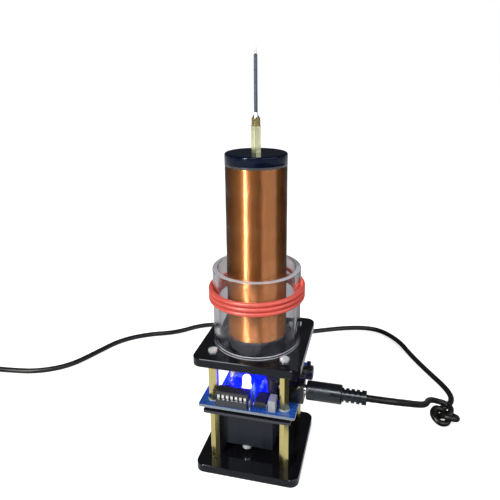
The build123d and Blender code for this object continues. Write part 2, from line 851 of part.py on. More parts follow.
# The route is chosen by hand: from the plug down to the knot, then round behind the decks.
drop_points = [Vector(cord_start, jack_y, jack_z), Vector(cord_start + 10, jack_y, jack_z),
               Vector(86.5, -1.5, 44.5), Vector(95.0, 14.5, 33.5), Vector(101.0, 33.0, 21.5),
               Vector(104.5, 51.5, 13.0)]
floor = cord / 2
run_places = [(118.2, 61.6), (122.6, 71.5), (119.0, 84.0), (108.5, 101.0), (96.5, 122.5), (87.0, 144.5),
              (69.0, 160.5), (45.0, 157.0), (19.0, 145.0), (-9.0, 131.0), (-37.0, 128.5), (-62.0, 137.0),
              (-84.5, 131.5), (-102.0, 113.0), (-125.0, 104.5), (-143.5, 89.5), (-153.0, 67.5),
              (-163.0, 46.0), (-182.0, 33.5), (-203.0, 30.0)]
run_points = [Vector(x, y, floor) for x, y in run_places]


def corner_radii(points):
    # Each radius is 0.45 of the shorter run, over the tangent of half the turn.
    radii = []
    for before, corner, after in zip(points, points[1:], points[2:]):
        run_in, run_out = corner - before, after - corner
        half_turn = math.radians(run_in.get_angle(run_out)) / 2
        radii.append(0.45 * min(run_in.length, run_out.length) / math.tan(half_turn))
    return radii


def cord_tube(name, points):
    radii = corner_radii(points)
    path = FilletPolyline(*points, radius=radii)
    solid = tube(path, cord)
    expected = path.length * math.pi * cord ** 2 / 4
    print(f"{name}: {path.length:.1f} mm, volume {solid.volume:.0f} of {expected:.0f} mm3, radii",
          " ".join(f"{r:.0f}" for r in radii))
    return solid, path


def midpoint(a, b):
    return (a + b) * 0.5


coil_turned = (coil_start + coil_end) / 2
coil_outer = coil_middle + coil_pitch * (coil_end - coil_start) / 4 / 360
coil_low = floor + tie_strap + 0.1


def coil_point(angle):
    # Spirals in on the table, climbs a layer in the half turn about the middle, and spirals out on top.
    radius = coil_outer - coil_pitch * ((coil_end - coil_start) / 2 - abs(angle - coil_turned)) / 360
    part = min(max((angle - coil_turned + 90) / 180, 0), 1)
    height = coil_low + coil_layer * (1 - math.cos(math.pi * part)) / 2
    turned = math.radians(angle)
    return Vector(coil_x + radius * math.cos(turned), coil_y + radius * math.sin(turned), height)


def coil_ends():
    # One diameter of straight cord before and after the turns.
    (first, first_way), (last, last_way) = [curve_station(coil_point, a) for a in (coil_start, coil_end)]
    flat = [Vector(way.X, way.Y, 0).normalized() for way in (first_way, last_way)]
    return (first, flat[0]), (last, flat[1])


def coil_path():
    (first, first_way), (last, last_way) = coil_ends()
    angles = [coil_start + 58 * i for i in range(1, 20)]
    stations = [(first - first_way * cord, first_way), (first, first_way)]
    stations += [curve_station(coil_point, a) for a in angles]
    stations += [(last, last_way), (last + last_way * cord, last_way)]
    return smooth_path(stations)


def cord_tie():
    # A flat strap round the bundle of turns.
    turns = [a for a in range(tie_angle, coil_end, 360) if a >= coil_start]
    radii = [math.hypot(coil_point(a).X - coil_x, coil_point(a).Y - coil_y) for a in turns]
    inner_low, inner_high = min(radii) - cord / 2 - tie_gap, max(radii) + cord / 2 + tie_gap
    height = coil_low + coil_layer + cord / 2 + tie_gap
    middle, width = (inner_low + inner_high) / 2, inner_high - inner_low
    outer = RectangleRounded(width + 2 * tie_strap, height + tie_strap, 2.0)
    inner = RectangleRounded(width, height - tie_strap, 2.0 - tie_strap)
    band = extrude(Pos(middle, (height + tie_strap) / 2) * (outer - inner), tie_width / 2, both=True)
    upright = Rot(90, 0, 0) * band
    return Pos(coil_x, coil_y, 0) * Rot(0, 0, tie_angle) * upright


def tail_points():
    # From the end of the turns to the socket, which lies on the table beside the coil.
    _, (last, way) = coil_ends()
    start = last + way * cord
    height = socket_body / 2 - start.Z
    return [start, start + way * 8, start + way * 17 + Vector(-5, 0, height), start + way * 25 + Vector(-5, 0, height)]


def inline_socket():
    # A moulded socket that takes another plug, with its relief towards the coil.
    before, start = tail_points()[-2:]
    way = (start - before).normalized()
    body = moulded_plug(socket_body, socket_length, relief_body, socket_relief, 3)
    body -= rod(jack_bore, -1, socket_bore_depth) - rod(jack_pin, 1.0, socket_bore_depth)
    total = socket_length + socket_relief
    return Plane(origin=start + way * total, z_dir=way * -1) * body


def main():
    os.makedirs("parts", exist_ok=True)
    save("base_plate", base_plate())
    save("base_screws", *[Pos(x, y, flat_head_sunk) * flat_screw(base_top + deck_screw_reach - 2)
                          for x, y in post_places])
    save("lower_posts", *[Pos(x, y, 0) * Rot(0, 0, turn) * lower_post()
                          for (x, y), turn in zip(post_places, lower_post_turns)])
    save("carrier_sheet", carrier_sheet())
    save("spacer_nuts", *[Pos(x, y, sheet_top) * nut(nut_height) for x, y in post_places])
    save("driver_board", notched_sheet(board_width, board_width, board_notch_edge, board_bottom, board_thickness))
    save("upper_posts", *[Pos(x, y, 0) * Rot(0, 0, turn) * upper_post()
                          for (x, y), turn in zip(post_places, upper_post_turns)])
    save("top_plate", top_plate())
    save("top_screws", *[Pos(x, y, deck_top) * Rot(0, 0, 20) * pan_screw(deck_screw_reach) for x, y in post_places])
    save("heat_sink", heat_sink())
    save("sink_screws", *[sink_screw(x, y) for x, y in sink_screw_places()])
    save("sink_nuts", *[Pos(x, y, sheet_top) * nut(thin_nut_height) for x, y in sink_screw_places()])
    save("power_transistors", *[transistor(x) for x in transistor_places()])
    save("insulating_pads", *[insulating_pad(x) for x in transistor_places()])
    save("transistor_screws", *[transistor_screw(x) for x in transistor_places()])
    save("chip_socket", Pos(logic_x, logic_y, board_top) * dip_socket(14))
    save("logic_chip", logic_chip())
    save("gate_driver", gate_driver())
    save("electrolytic_capacitors", *electrolytics())
    save("film_capacitor", film_capacitor())
    save("ceramic_capacitors", ceramic_disc(2.0, -24.6, 90), ceramic_disc(-14.0, -12.6, 30),
         ceramic_disc(23.6, -2.0, 90))
    save("resistors", resistor(-7.0, -14.6, 0), resistor(4.4, -4.0, 90), resistor(-9.5, 1.5, 0),
         resistor(2.0, 7.5, 0), standing_resistor(1.9, -17.2, 90))
    save("regulator", regulator())
    save("status_led", status_led())
    save("solder_joints", *solder_joints())
    save("power_jack", power_jack())
    save("potentiometer", potentiometer())
    save("tuning_shaft", tuning_shaft())
    save("tuning_knob", tuning_knob())
    former = pipe(former_outer, former_outer - 2 * former_wall, deck_top, deck_top + former_height)
    save("primary_former", chamfer(former.edges().group_by(Axis.Z)[-1], plate_edge))
    save("primary_winding", primary_winding())
    save("secondary_pipe", secondary_pipe())
    save("secondary_winding", pipe(2 * winding_radius, pipe_outer + 2 * winding_gap, winding_low, winding_high))
    save("end_tapes", *end_tapes())
    save("foot_plug", foot_plug())
    save("foot_screw", foot_screw())
    save("end_wires", *end_wires())
    save("top_cap", top_cap())
    save("terminal_screw", terminal_screw())
    save("terminal_post", terminal_post())
    save("needle_ferrule", needle_ferrule())
    save("solder_cone", solder_cone())
    save("discharge_needle", discharge_needle())
    save("needle_sleeve", needle_sleeve())
    save("dc_plug", dc_plug())
    save("plug_barrel", barrel_contact())

    into_knot = midpoint(drop_points[-1], knot_points[0])
    out_of_knot = midpoint(knot_points[-1], run_points[0])
    (coil_first, coil_way), _ = coil_ends()
    drop, drop_path = cord_tube("cord from plug to knot", drop_points + [into_knot])
    knot, knot_path = cord_tube("knot", [into_knot] + knot_points + [out_of_knot])
    report_gap("knot", knot_path, cord)
    into_coil = [coil_first - coil_way * (cord + 9), coil_first - coil_way * cord]
    run, run_path = cord_tube("cord from knot to coil", [out_of_knot] + run_points + into_coil)
    path = coil_path()
    report_gap("put-away coil", path, cord)
    save("supply_cord", drop)
    save("cord_knot", knot)
    save("cord_run", run)
    save("cord_coil", tube(path, cord))
    tail, tail_path = cord_tube("cord from coil to socket", tail_points())
    save("cord_tail", tail)
    save("cord_tie", cord_tie())
    save("inline_socket", inline_socket())
    total = sum(p.length for p in (drop_path, knot_path, run_path, path, tail_path))
    print(f"cord length {total:.0f} mm, {len(written)} nodes")


main()
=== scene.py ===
import math
import bmesh
import bpy
from mathutils import Matrix, Vector


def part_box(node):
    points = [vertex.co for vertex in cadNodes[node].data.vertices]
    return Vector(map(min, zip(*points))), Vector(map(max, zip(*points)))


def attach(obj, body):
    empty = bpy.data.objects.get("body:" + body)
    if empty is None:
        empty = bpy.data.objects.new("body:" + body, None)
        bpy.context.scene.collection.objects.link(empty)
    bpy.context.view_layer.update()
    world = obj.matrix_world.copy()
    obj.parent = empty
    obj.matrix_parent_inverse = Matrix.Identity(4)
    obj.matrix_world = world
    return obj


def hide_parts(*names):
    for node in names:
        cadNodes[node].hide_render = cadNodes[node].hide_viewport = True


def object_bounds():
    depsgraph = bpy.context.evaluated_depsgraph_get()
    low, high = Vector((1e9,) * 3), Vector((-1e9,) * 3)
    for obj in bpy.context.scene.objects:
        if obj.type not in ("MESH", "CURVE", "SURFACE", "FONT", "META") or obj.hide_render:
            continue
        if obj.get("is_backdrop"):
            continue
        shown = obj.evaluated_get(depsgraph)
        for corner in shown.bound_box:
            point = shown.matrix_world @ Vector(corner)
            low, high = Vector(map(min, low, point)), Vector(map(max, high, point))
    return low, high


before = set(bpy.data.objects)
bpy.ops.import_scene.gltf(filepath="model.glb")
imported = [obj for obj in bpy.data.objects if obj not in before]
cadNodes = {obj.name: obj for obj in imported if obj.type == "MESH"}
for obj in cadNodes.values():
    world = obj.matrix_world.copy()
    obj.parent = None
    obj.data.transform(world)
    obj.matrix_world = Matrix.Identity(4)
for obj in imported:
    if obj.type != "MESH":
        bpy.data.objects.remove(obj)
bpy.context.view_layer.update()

# A desktop resonant transformer: black acrylic decks on brass posts, a driver board with a lit blue lamp,
# a copper-wound coil with a needle on top, three red primary turns and a power lead.
# Everything is in metres, in the frame of the CAD model.

scene = bpy.context.scene
print("frame loaded:", len(cadNodes), "nodes")


# The camera stands where the photograph was taken from, fitted to the corners of both decks.
view = {
    "place": (0.06621, -0.25983, 0.22640),
    "right": (0.97197, 0.23508, -0.00308),
    "up": (-0.05631, 0.24550, 0.96776),
    "ahead": (-0.22825, 0.94046, -0.25185),
    "lens": 36.56, "sensor": 36.0,           # both in millimetres
    "shift": (-0.024, -0.100),
    "clip": (0.01, 20),
}


def setCamera():
    data = bpy.data.cameras.new("photoCamera")
    data.lens = view["lens"]
    data.sensor_width = view["sensor"]
    data.shift_x, data.shift_y = view["shift"]
    data.clip_start, data.clip_end = view["clip"]
    camera = bpy.data.objects.new("photoCamera", data)
    scene.collection.objects.link(camera)
    axes = Matrix((view["right"], view["up"], [-a for a in view["ahead"]])).transposed().to_4x4()
    camera.matrix_world = Matrix.Translation(view["place"]) @ axes
    scene.camera = camera


setCamera()
print("camera placed")


# Small tools for node trees, shared by the finishes and the geometry.

def feed(tree, node, **links):
    # Links outputs to a node's inputs by name.
    for key, output in links.items():
        tree.links.new(output, node.inputs[key.replace("_", " ")])


def put(tree, kind, settings=None, **links):
    # A node with its inputs and options set by name, and other nodes' outputs linked to it by name.
    node = tree.nodes.new(kind)
    for key, value in (settings or {}).items():
        if key in node.inputs:
            node.inputs[key].default_value = value
        else:
            setattr(node, key, value)
    feed(tree, node, **links)
    return node


def fill(tree, socket, value):
    # An input takes another node's output or a plain value.
    if isinstance(value, bpy.types.NodeSocket):
        tree.links.new(value, socket)
    else:
        socket.default_value = value


def maths(tree, operation, first, second=0.0):
    node = put(tree, "ShaderNodeMath", {"operation": operation})
    fill(tree, node.inputs[0], first)
    fill(tree, node.inputs[1], second)
    return node.outputs[0]


def blendColours(tree, factor, first, second):
    node = put(tree, "ShaderNodeMix", {"data_type": "RGBA"}, Factor=factor)
    for socket, value in ((node.inputs[6], first), (node.inputs[7], second)):    # its two colours
        fill(tree, socket, value if isinstance(value, bpy.types.NodeSocket) else (*value, 1))
    return node.outputs[2]


def shade(colour, by):
    # A paler or darker tint.
    return [min(1.0, c * by) for c in colour]


def newFinish(name, settings):
    mat = bpy.data.materials.new(name)
    mat.use_nodes = True
    shader = mat.node_tree.nodes["Principled BSDF"]
    for key, value in settings.items():
        shader.inputs[key].default_value = value
    return mat, mat.node_tree, shader


def place(tree, stretch=(1, 1, 1)):
    coords = put(tree, "ShaderNodeTexCoord").outputs["Object"]
    return put(tree, "ShaderNodeMapping", {"Scale": stretch}, Vector=coords).outputs["Vector"]


def noise(tree, scale, detail=3.0, stretch=(1, 1, 1), rough=0.5):
    return put(tree, "ShaderNodeTexNoise", {"Scale": scale, "Detail": detail, "Roughness": rough},
               Vector=place(tree, stretch)).outputs["Fac"]


def spread(tree, source, low, high, fromLow=0.3, fromHigh=0.7):
    # Remaps a factor to a range of values.
    return put(tree, "ShaderNodeMapRange", {"From Min": fromLow, "From Max": fromHigh, "To Min": low,
                                            "To Max": high}, Value=source).outputs["Result"]


def bumpBy(tree, shader, height, strength, distance):
    node = put(tree, "ShaderNodeBump", {"Strength": strength, "Distance": distance}, Height=height)
    feed(tree, shader, Normal=node.outputs["Normal"])


def axisOf(tree, axis):
    # One object coordinate, in metres.
    coords = put(tree, "ShaderNodeTexCoord").outputs["Object"]
    return put(tree, "ShaderNodeSeparateXYZ", Vector=coords).outputs[axis]


def above(tree, axis, level):
    return maths(tree, "GREATER_THAN", axisOf(tree, axis), level)


def below(tree, axis, level):
    return maths(tree, "LESS_THAN", axisOf(tree, axis), level)


def away(tree, axis, middle, reach):
    # 1 where a coordinate is further than reach from the middle.
    offset = maths(tree, "ABSOLUTE", maths(tree, "SUBTRACT", axisOf(tree, axis), middle))
    return maths(tree, "GREATER_THAN", offset, reach)


def facing(tree, axis):
    # The surface normal's size along an axis: 1 on a flat face across it.
    normal = put(tree, "ShaderNodeNewGeometry").outputs["Normal"]
    return maths(tree, "ABSOLUTE", put(tree, "ShaderNodeSeparateXYZ", Vector=normal).outputs[axis])


def slant(tree):
    # 1 where a surface is seen along itself.
    return put(tree, "ShaderNodeLayerWeight", {"Blend": 0.5}).outputs["Facing"]


def worn(tree, shader, tint, rough, scale, change):
    # Colour and roughness that vary a little, as handled plastic and metal do.
    patches = noise(tree, scale, 4.0)
    feed(tree, shader,
         Base_Color=blendColours(tree, patches, shade(tint, 1 - change), shade(tint, 1 + change)),
         Roughness=spread(tree, noise(tree, scale * 0.4), rough * 0.8, rough * 1.25))


def grained(name, settings, look, scale, detail=3.0, stretch=(1, 1, 1)):
    # One fine pattern carries both the colour and the roughness.
    mat, tree, shader = newFinish(name, settings)
    grain = noise(tree, scale, detail, stretch)
    feed(tree, shader, Base_Color=blendColours(tree, grain, look["dark"], look["light"]),
         Roughness=spread(tree, grain, *look["rough"]))
    return mat, tree, shader, grain


# Polished sheet with a faint dust, and rubbed, slightly paler sawn edges. Its reflections are tinted blue, a
# painted reflection colour.
deckSheet = {"face": (0.0042, 0.0044, 0.0060), "sawn": (0.006, 0.006, 0.008), "dust": (0.16, 0.16, 0.18),
             "dusty": 0.16, "smear": (0.035, 0.13), "paintedShine": (0.80, 0.88, 1.0), "level": 0.32}


def acrylicBlack():
    # The blue tint of the sheet's reflections is a painted reflection colour.
    mat, tree, shader = newFinish("acrylicBlack", {"IOR": 1.40, "Specular IOR Level": deckSheet["level"],
                                                   "Specular Tint": (*deckSheet["paintedShine"], 1)})
    dust = spread(tree, noise(tree, 2600, 2.0), 0.0, 1.0, 0.66, 0.80)
    sides = spread(tree, facing(tree, "Z"), 1.0, 0.0, 0.1, 0.6)
    body = blendColours(tree, sides, deckSheet["face"], deckSheet["sawn"])
    dusty = maths(tree, "MULTIPLY", dust, deckSheet["dusty"])
    feed(tree, shader, Base_Color=blendColours(tree, dusty, body, deckSheet["dust"]),
         Roughness=spread(tree, noise(tree, 130, 4.0), *deckSheet["smear"]))
    bumpBy(tree, shader, noise(tree, 180, 2.0), 0.04, 0.0002)
    return mat


def brassDrawn(name, tint, stretch=(1, 1, 0.03), rough=(0.12, 0.26)):
    # Drawn bar: fine lines along it, a little tarnish.
    mat, tree, shader = newFinish(name, {"Metallic": 1.0})
    tarnish = spread(tree, noise(tree, 160, 3.0, (1, 1, 0.35)), 0.0, 1.0, 0.46, 0.85)
    lines = noise(tree, 1500, 3.0, stretch)
    feed(tree, shader, Base_Color=blendColours(tree, tarnish, tint, shade(tint, 0.80)),
         Roughness=spread(tree, lines, *rough))
    bumpBy(tree, shader, lines, 0.12, 0.00003)
    return mat


def metalPlated(name, tint, rough=(0.16, 0.34), metal=1.0, bump=0.15):
    # Plated and turned: faint rings round it over a fine grain.
    look = {"dark": shade(tint, 0.8), "light": tint, "rough": rough}
    mat, tree, shader = grained(name, {"Metallic": metal}, look, 900, 3.0, (1, 1, 3))[:3]
    bumpBy(tree, shader, noise(tree, 5200, 2.0), bump, 0.00003)
    return mat


# Laminate: lacquered faces and a paler cut edge with its layers.
carrier = {"face": (0.006, 0.006, 0.008), "edge": (0.030, 0.034, 0.044), "rough": (0.28, 0.455),
           "layers": 900.0}


def carrierLaminate():
    mat, tree, shader = newFinish("carrierLaminate", {"Specular IOR Level": 0.4})
    sides = spread(tree, facing(tree, "Z"), 1.0, 0.0, 0.25, 0.6)
    layers = put(tree, "ShaderNodeTexWave", {"bands_direction": "Z", "Scale": carrier["layers"],
                                             "Distortion": 3.0}, Vector=place(tree)).outputs["Fac"]
    cut = blendColours(tree, layers, shade(carrier["edge"], 0.8), carrier["edge"])
    weave = blendColours(tree, noise(tree, 1100), shade(carrier["face"], 0.8), shade(carrier["face"], 1.15))
    feed(tree, shader, Base_Color=blendColours(tree, sides, weave, cut),
         Roughness=spread(tree, noise(tree, 500), *carrier["rough"]))
    return mat


# Blue lacquer over copper tracks, which show as paler, raised lines, and a pale cut edge.
boardFace = {"lacquer": (0.010, 0.060, 0.30), "overCopper": (0.022, 0.120, 0.46),
             "edge": (0.17, 0.21, 0.25), "rough": (0.22, 0.36),
             "track": 0.0003, "trackLength": 0.0061, "trackPitch": 0.00254}


def boardLacquer():
    mat, tree, shader = newFinish("boardLacquer", {"Specular IOR Level": 0.35, "Coat Weight": 0.1,
                                                   "Coat Roughness": 0.2})
    tracks = put(tree, "ShaderNodeTexBrick", {
        "Scale": 1.0, "Bias": 0.0, "Mortar Size": boardFace["track"], "Mortar Smooth": 0.2,
        "Brick Width": boardFace["trackLength"], "Row Height": boardFace["trackPitch"]},
        Vector=place(tree)).outputs["Fac"]
    pours = spread(tree, noise(tree, 130, 1.0), 0.0, 1.0, 0.49, 0.51)
    lines = maths(tree, "MULTIPLY", tracks, pours)
    lacquer = blendColours(tree, lines, boardFace["lacquer"], boardFace["overCopper"])
    sides = spread(tree, facing(tree, "Z"), 1.0, 0.0, 0.25, 0.6)
    feed(tree, shader, Base_Color=blendColours(tree, sides, lacquer, boardFace["edge"]),
         Roughness=spread(tree, noise(tree, 700), *boardFace["rough"]))
    bumpBy(tree, shader, lines, 0.3, 0.00004)
    return mat


# Clear tube: a faint violet-grey tint, hair scratches round it, and a sawn, frosted rim; the pale band round
# its foot is a painted highlight.
clearTube = {"clear": (0.94, 0.94, 0.98), "alongWall": (0.22, 0.22, 0.26), "frostedAndFootHighlight": (0.50, 0.51, 0.60),
             "rimAbove": 0.1180, "footHighlightBelow": 0.0741, "frostRough": 0.3}


def acrylicClear():
    mat, tree, shader = newFinish("acrylicClear", {"IOR": 1.30})
    flat = spread(tree, facing(tree, "Z"), 0.0, 1.0, 0.5, 0.8)
    rim = maths(tree, "MULTIPLY", flat, above(tree, "Z", clearTube["rimAbove"]))
    # The pale band round the foot is a painted highlight line.
    rim = maths(tree, "MAXIMUM", rim, below(tree, "Z", clearTube["footHighlightBelow"]))
    frostAndFootHighlight = maths(tree, "MULTIPLY", rim, spread(tree, noise(tree, 900), 0.55, 0.8))
    # Seen along its wall the tube is darker, because the way through it is longer.
    wall = blendColours(tree, spread(tree, slant(tree), 0.0, 1.0, 0.60, 0.95), clearTube["clear"],
                        clearTube["alongWall"])
    scratches = spread(tree, noise(tree, 260, 5.0, (1, 1, 14), 0.7), 0.015, 0.09, 0.5, 0.8)
    sawn = maths(tree, "MULTIPLY", rim, clearTube["frostRough"])
    feed(tree, shader, Base_Color=blendColours(tree, frostAndFootHighlight, wall, clearTube["frostedAndFootHighlight"]),
         Transmission_Weight=maths(tree, "SUBTRACT", 1.0, frostAndFootHighlight),
         Roughness=maths(tree, "ADD", scratches, sawn))
    bumpBy(tree, shader, noise(tree, 60, 2.0), 0.03, 0.0003)
    return mat


redCover = {"dark": (0.50, 0.052, 0.036), "light": (0.62, 0.085, 0.060), "rough": (0.34, 0.5), "soft": 0.08}


def siliconeRed():
    mat, tree, shader = newFinish("siliconeRed", {
        "Specular IOR Level": 0.45, "Coat Weight": 0.12, "Coat Roughness": 0.3,
        "Subsurface Weight": redCover["soft"], "Subsurface Scale": 0.0006,
        "Subsurface Radius": (1.0, 0.25, 0.12)})
    feed(tree, shader,
         Base_Color=blendColours(tree, noise(tree, 260, 4.0), redCover["dark"], redCover["light"]),
         Roughness=spread(tree, noise(tree, 1400), *redCover["rough"]))
    bumpBy(tree, shader, noise(tree, 2400, 2.0), 0.12, 0.00004)
    return mat


# Amber enamel on copper; the wire's colour shifts a little from turn to turn.
enamel = {"dark": (0.385, 0.125, 0.010), "light": (0.44, 0.146, 0.013), "deep": (0.030, 0.008, 0.003),
          "rough": (0.22, 0.27), "coat": 0.95}


def enamelCopper(name="enamelCopper"):
    mat, tree, shader = newFinish(name, {"Metallic": 0.9, "Coat Roughness": 0.17, "Coat IOR": 1.7})
    turns = spread(tree, noise(tree, 46, 5.0, (0.15, 0.15, 14), 0.65), 0.0, 1.0)
    tint = blendColours(tree, turns, enamel["dark"], enamel["light"])
    # Towards the sides the wire darkens and its coat fades: partly the enamel seen through more of its
    # thickness, partly painted shade of the turns shading one another.
    deep = spread(tree, slant(tree), 0.0, 1.0, 0.26, 0.80)
    feed(tree, shader, Base_Color=blendColours(tree, deep, tint, enamel["deep"]),
         Coat_Weight=spread(tree, deep, enamel["coat"], 0.0, 0.0, 0.5),
         Roughness=spread(tree, noise(tree, 300, 3.0, (0.1, 0.1, 16)), *enamel["rough"]))
    return mat


def moulded(name, tint, rough, level=0.45, paintedShine=(1.0, 1.0, 1.0), bump=0.10):
    # Moulded plastic or a baked coat: a fine skin, a little handled. A coloured tint on its reflections is a
    # painted reflection colour.
    mat, tree, shader = newFinish(name, {"IOR": 1.5, "Specular IOR Level": level,
                                         "Specular Tint": (*paintedShine, 1)})
    worn(tree, shader, tint, rough, 420.0, 0.3)
    bumpBy(tree, shader, noise(tree, 1800, 2.0), bump, 0.00005)
    return mat


# Moulded cap: polished round its side, its top reflecting almost nothing, which is painted shade. The blue
# in its black and in its reflections is a painted blue cast of light.
cap = {"tint": (0.002, 0.004, 0.014), "rough": 0.13, "paintedShine": (0.62, 0.78, 1.0), "side": 0.40, "top": 0.02}


def capBlack():
    mat, tree, shader = newFinish("capBlack", {"IOR": 1.30, "Specular Tint": (*cap["paintedShine"], 1)})
    worn(tree, shader, cap["tint"], cap["rough"], 420.0, 0.3)
    top = spread(tree, facing(tree, "Z"), 0.0, 1.0, 0.6, 0.95)
    # Painted shade: the top face's reflection is all but taken away, so it reads dark.
    level = spread(tree, top, cap["side"], cap["top"], 0.0, 1.0)
    feed(tree, shader, Specular_IOR_Level=level)
    bumpBy(tree, shader, noise(tree, 1800, 2.0), 0.015, 0.00005)
    return mat


tape = {"dark": (0.010, 0.010, 0.014), "light": (0.034, 0.034, 0.044), "rough": (0.18, 0.34), "coat": 0.4}


def windingTape():
    return grained("windingTape", {"Specular IOR Level": 0.5, "Coat Weight": tape["coat"]}, tape, 300, 3.0,
                   (1, 1, 5))[0]


# Extruded aluminium: die lines run up the faces under the black finish, whose blue tint is a painted blue
# cast of light.
extrusion = {"dark": (0.004, 0.005, 0.010), "light": (0.010, 0.014, 0.026), "rough": (0.28, 0.46),
             "metal": 0.15}


def anodisedBlack():
    mat, tree, shader, lines = grained("anodisedBlack", {"Metallic": extrusion["metal"],
                                                         "Specular IOR Level": 0.35}, extrusion, 900, 3.0,
                                       (1, 1, 0.02))
    bumpBy(tree, shader, lines, 0.2, 0.00005)
    return mat


solder = {"dark": (0.50, 0.51, 0.53), "light": (0.82, 0.83, 0.85), "rough": (0.14, 0.36), "lumpy": 0.3}


def solderBright(name):
    mat, tree, shader = grained(name, {"Metallic": 1.0}, solder, 1300, 4.0)[:3]
    bumpBy(tree, shader, noise(tree, 900, 2.0), solder["lumpy"], 0.0001)
    return mat


needle = {"dark": (0.26, 0.27, 0.29), "light": (0.50, 0.51, 0.53), "rough": (0.18, 0.34)}


def groundSteel():
    return grained("groundSteel", {"Metallic": 1.0}, needle, 2600, 3.0, (1, 1, 4))[0]


legTin = {"dark": (0.72, 0.72, 0.72), "light": (0.90, 0.90, 0.89), "rough": 0.26}


def leggedBody(name, tint, rough, bareMetal):
    # A moulded or dipped body, and the bare metal of its legs or tab wherever one of the tests is true.
    mat, tree, shader = newFinish(name, {"Specular IOR Level": 0.4})
    metal, *others = [test(tree, *where) for test, *where in bareMetal]
    for other in others:
        metal = maths(tree, "MAXIMUM", metal, other)
    grain = noise(tree, 2100)
    body = blendColours(tree, grain, shade(tint, 0.8), shade(tint, 1.2))
    tin = blendColours(tree, noise(tree, 800, 2.0), legTin["dark"], legTin["light"])
    feed(tree, shader, Base_Color=blendColours(tree, metal, body, tin), Metallic=metal,
         Roughness=spread(tree, metal, rough, legTin["rough"], 0.0, 1.0))
    bumpBy(tree, shader, grain, 0.12, 0.00004)
    return mat


# A dark sleeve and a bare aluminium end.
canBody = {"sleeveDark": (0.010, 0.010, 0.014), "sleeveLight": (0.022, 0.022, 0.028),
           "lidDark": (0.55, 0.55, 0.56), "lidLight": (0.80, 0.80, 0.80), "lidAbove": 0.0500}


def canSleeve():
    mat, tree, shader = newFinish("canSleeve", {"Specular IOR Level": 0.5})
    lid = maths(tree, "MULTIPLY", spread(tree, facing(tree, "Z"), 0.0, 1.0, 0.85, 0.9),
                above(tree, "Z", canBody["lidAbove"]))
    sleeve = blendColours(tree, noise(tree, 500), canBody["sleeveDark"], canBody["sleeveLight"])
    brushed = blendColours(tree, noise(tree, 1200, 2.0), canBody["lidDark"], canBody["lidLight"])
    feed(tree, shader, Base_Color=blendColours(tree, lid, sleeve, brushed), Metallic=lid,
         Roughness=spread(tree, noise(tree, 800), 0.20, 0.34))
    return mat


# The lit lamp: a deep blue lens whose middle glows paler.
lamp = {"glow": 320.0, "lens": (0.04, 0.03, 0.95), "lensHeart": (0.25, 0.30, 1.0),
        "light": (0.006, 0.003, 1.0), "lightHeart": (0.020, 0.014, 1.0)}


def lampLit():
    mat, tree, shader = newFinish("lampLit", {"Roughness": 0.12, "Transmission Weight": 0.3, "IOR": 1.5,
                                              "Emission Strength": lamp["glow"]})
    heart = spread(tree, noise(tree, 300, 2.0), 0.0, 0.35)
    feed(tree, shader, Base_Color=blendColours(tree, heart, lamp["lens"], lamp["lensHeart"]),
         Emission_Color=blendColours(tree, heart, lamp["light"], lamp["lightHeart"]))
    return mat


sleeve = {"tint": (0.038, 0.051, 0.078), "rough": 0.30}


def shrinkSleeve():
    mat, tree, shader = newFinish("shrinkSleeve", {"Specular IOR Level": 0.5})
    worn(tree, shader, sleeve["tint"], sleeve["rough"], 800.0, 0.15)
    bumpBy(tree, shader, noise(tree, 1300, 2.0, (1, 1, 0.3)), 0.05, 0.00005)
    return mat


# Extruded jacket: satin black with faint rub marks.
jacket = {"tint": (0.0040, 0.0038, 0.0034), "rough": 0.36, "sheen": 0.03}


def cordRubber():
    mat, tree, shader = newFinish("cordRubber", {"Specular IOR Level": 0.30,
                                                 "Sheen Weight": jacket["sheen"]})
    worn(tree, shader, jacket["tint"], jacket["rough"], 240.0, 0.35)
    bumpBy(tree, shader, noise(tree, 1500), 0.10, 0.00006)
    return mat


# The power lead's route: from the jack down to the knot, round behind the decks, through the put-away coil
# and on to its socket.
lead = {
    "radius": 0.0019,
    "declared": 1.116,
    "exit": (0.0645, -0.010, 0.0501),
    "drop": [(0.0645, -0.0100, 0.0501), (0.0745, -0.0100, 0.0501), (0.0865, -0.0015, 0.0445),
             (0.0950, 0.0145, 0.0335), (0.1010, 0.0330, 0.0215), (0.1045, 0.0515, 0.0130)],
    "run": [(0.1182, 0.0616), (0.1226, 0.0715), (0.1190, 0.0840), (0.1085, 0.1010), (0.0965, 0.1225),
            (0.0870, 0.1445), (0.0690, 0.1605), (0.0450, 0.1570), (0.0190, 0.1450), (-0.0090, 0.1310),
            (-0.0370, 0.1285), (-0.0620, 0.1370), (-0.0845, 0.1315), (-0.1020, 0.1130), (-0.1250, 0.1045),
            (-0.1435, 0.0895), (-0.1530, 0.0675), (-0.1630, 0.0460), (-0.1820, 0.0335), (-0.2030, 0.0300)],
    "tail": [(-0.25597, -0.0028, 0.0068), (-0.25620, -0.0108, 0.0068), (-0.26145, -0.0198, 0.0063),
             (-0.26167, -0.0278, 0.0063)],
}
knot = {"middle": (0.1145, 0.0490), "radius": 0.0062, "swing": 0.0028, "rise": 0.0027, "turned": 100.0,
        "step": 20, "level": 30}
coil = {"middle": (-0.2315, 0.0010), "low": 0.0025, "layer": 0.0043, "radius": 0.0209, "pitch": 0.0043,
        "start": 100, "end": 1260, "step": 15, "leadIn": (0.0128, 0.0038)}


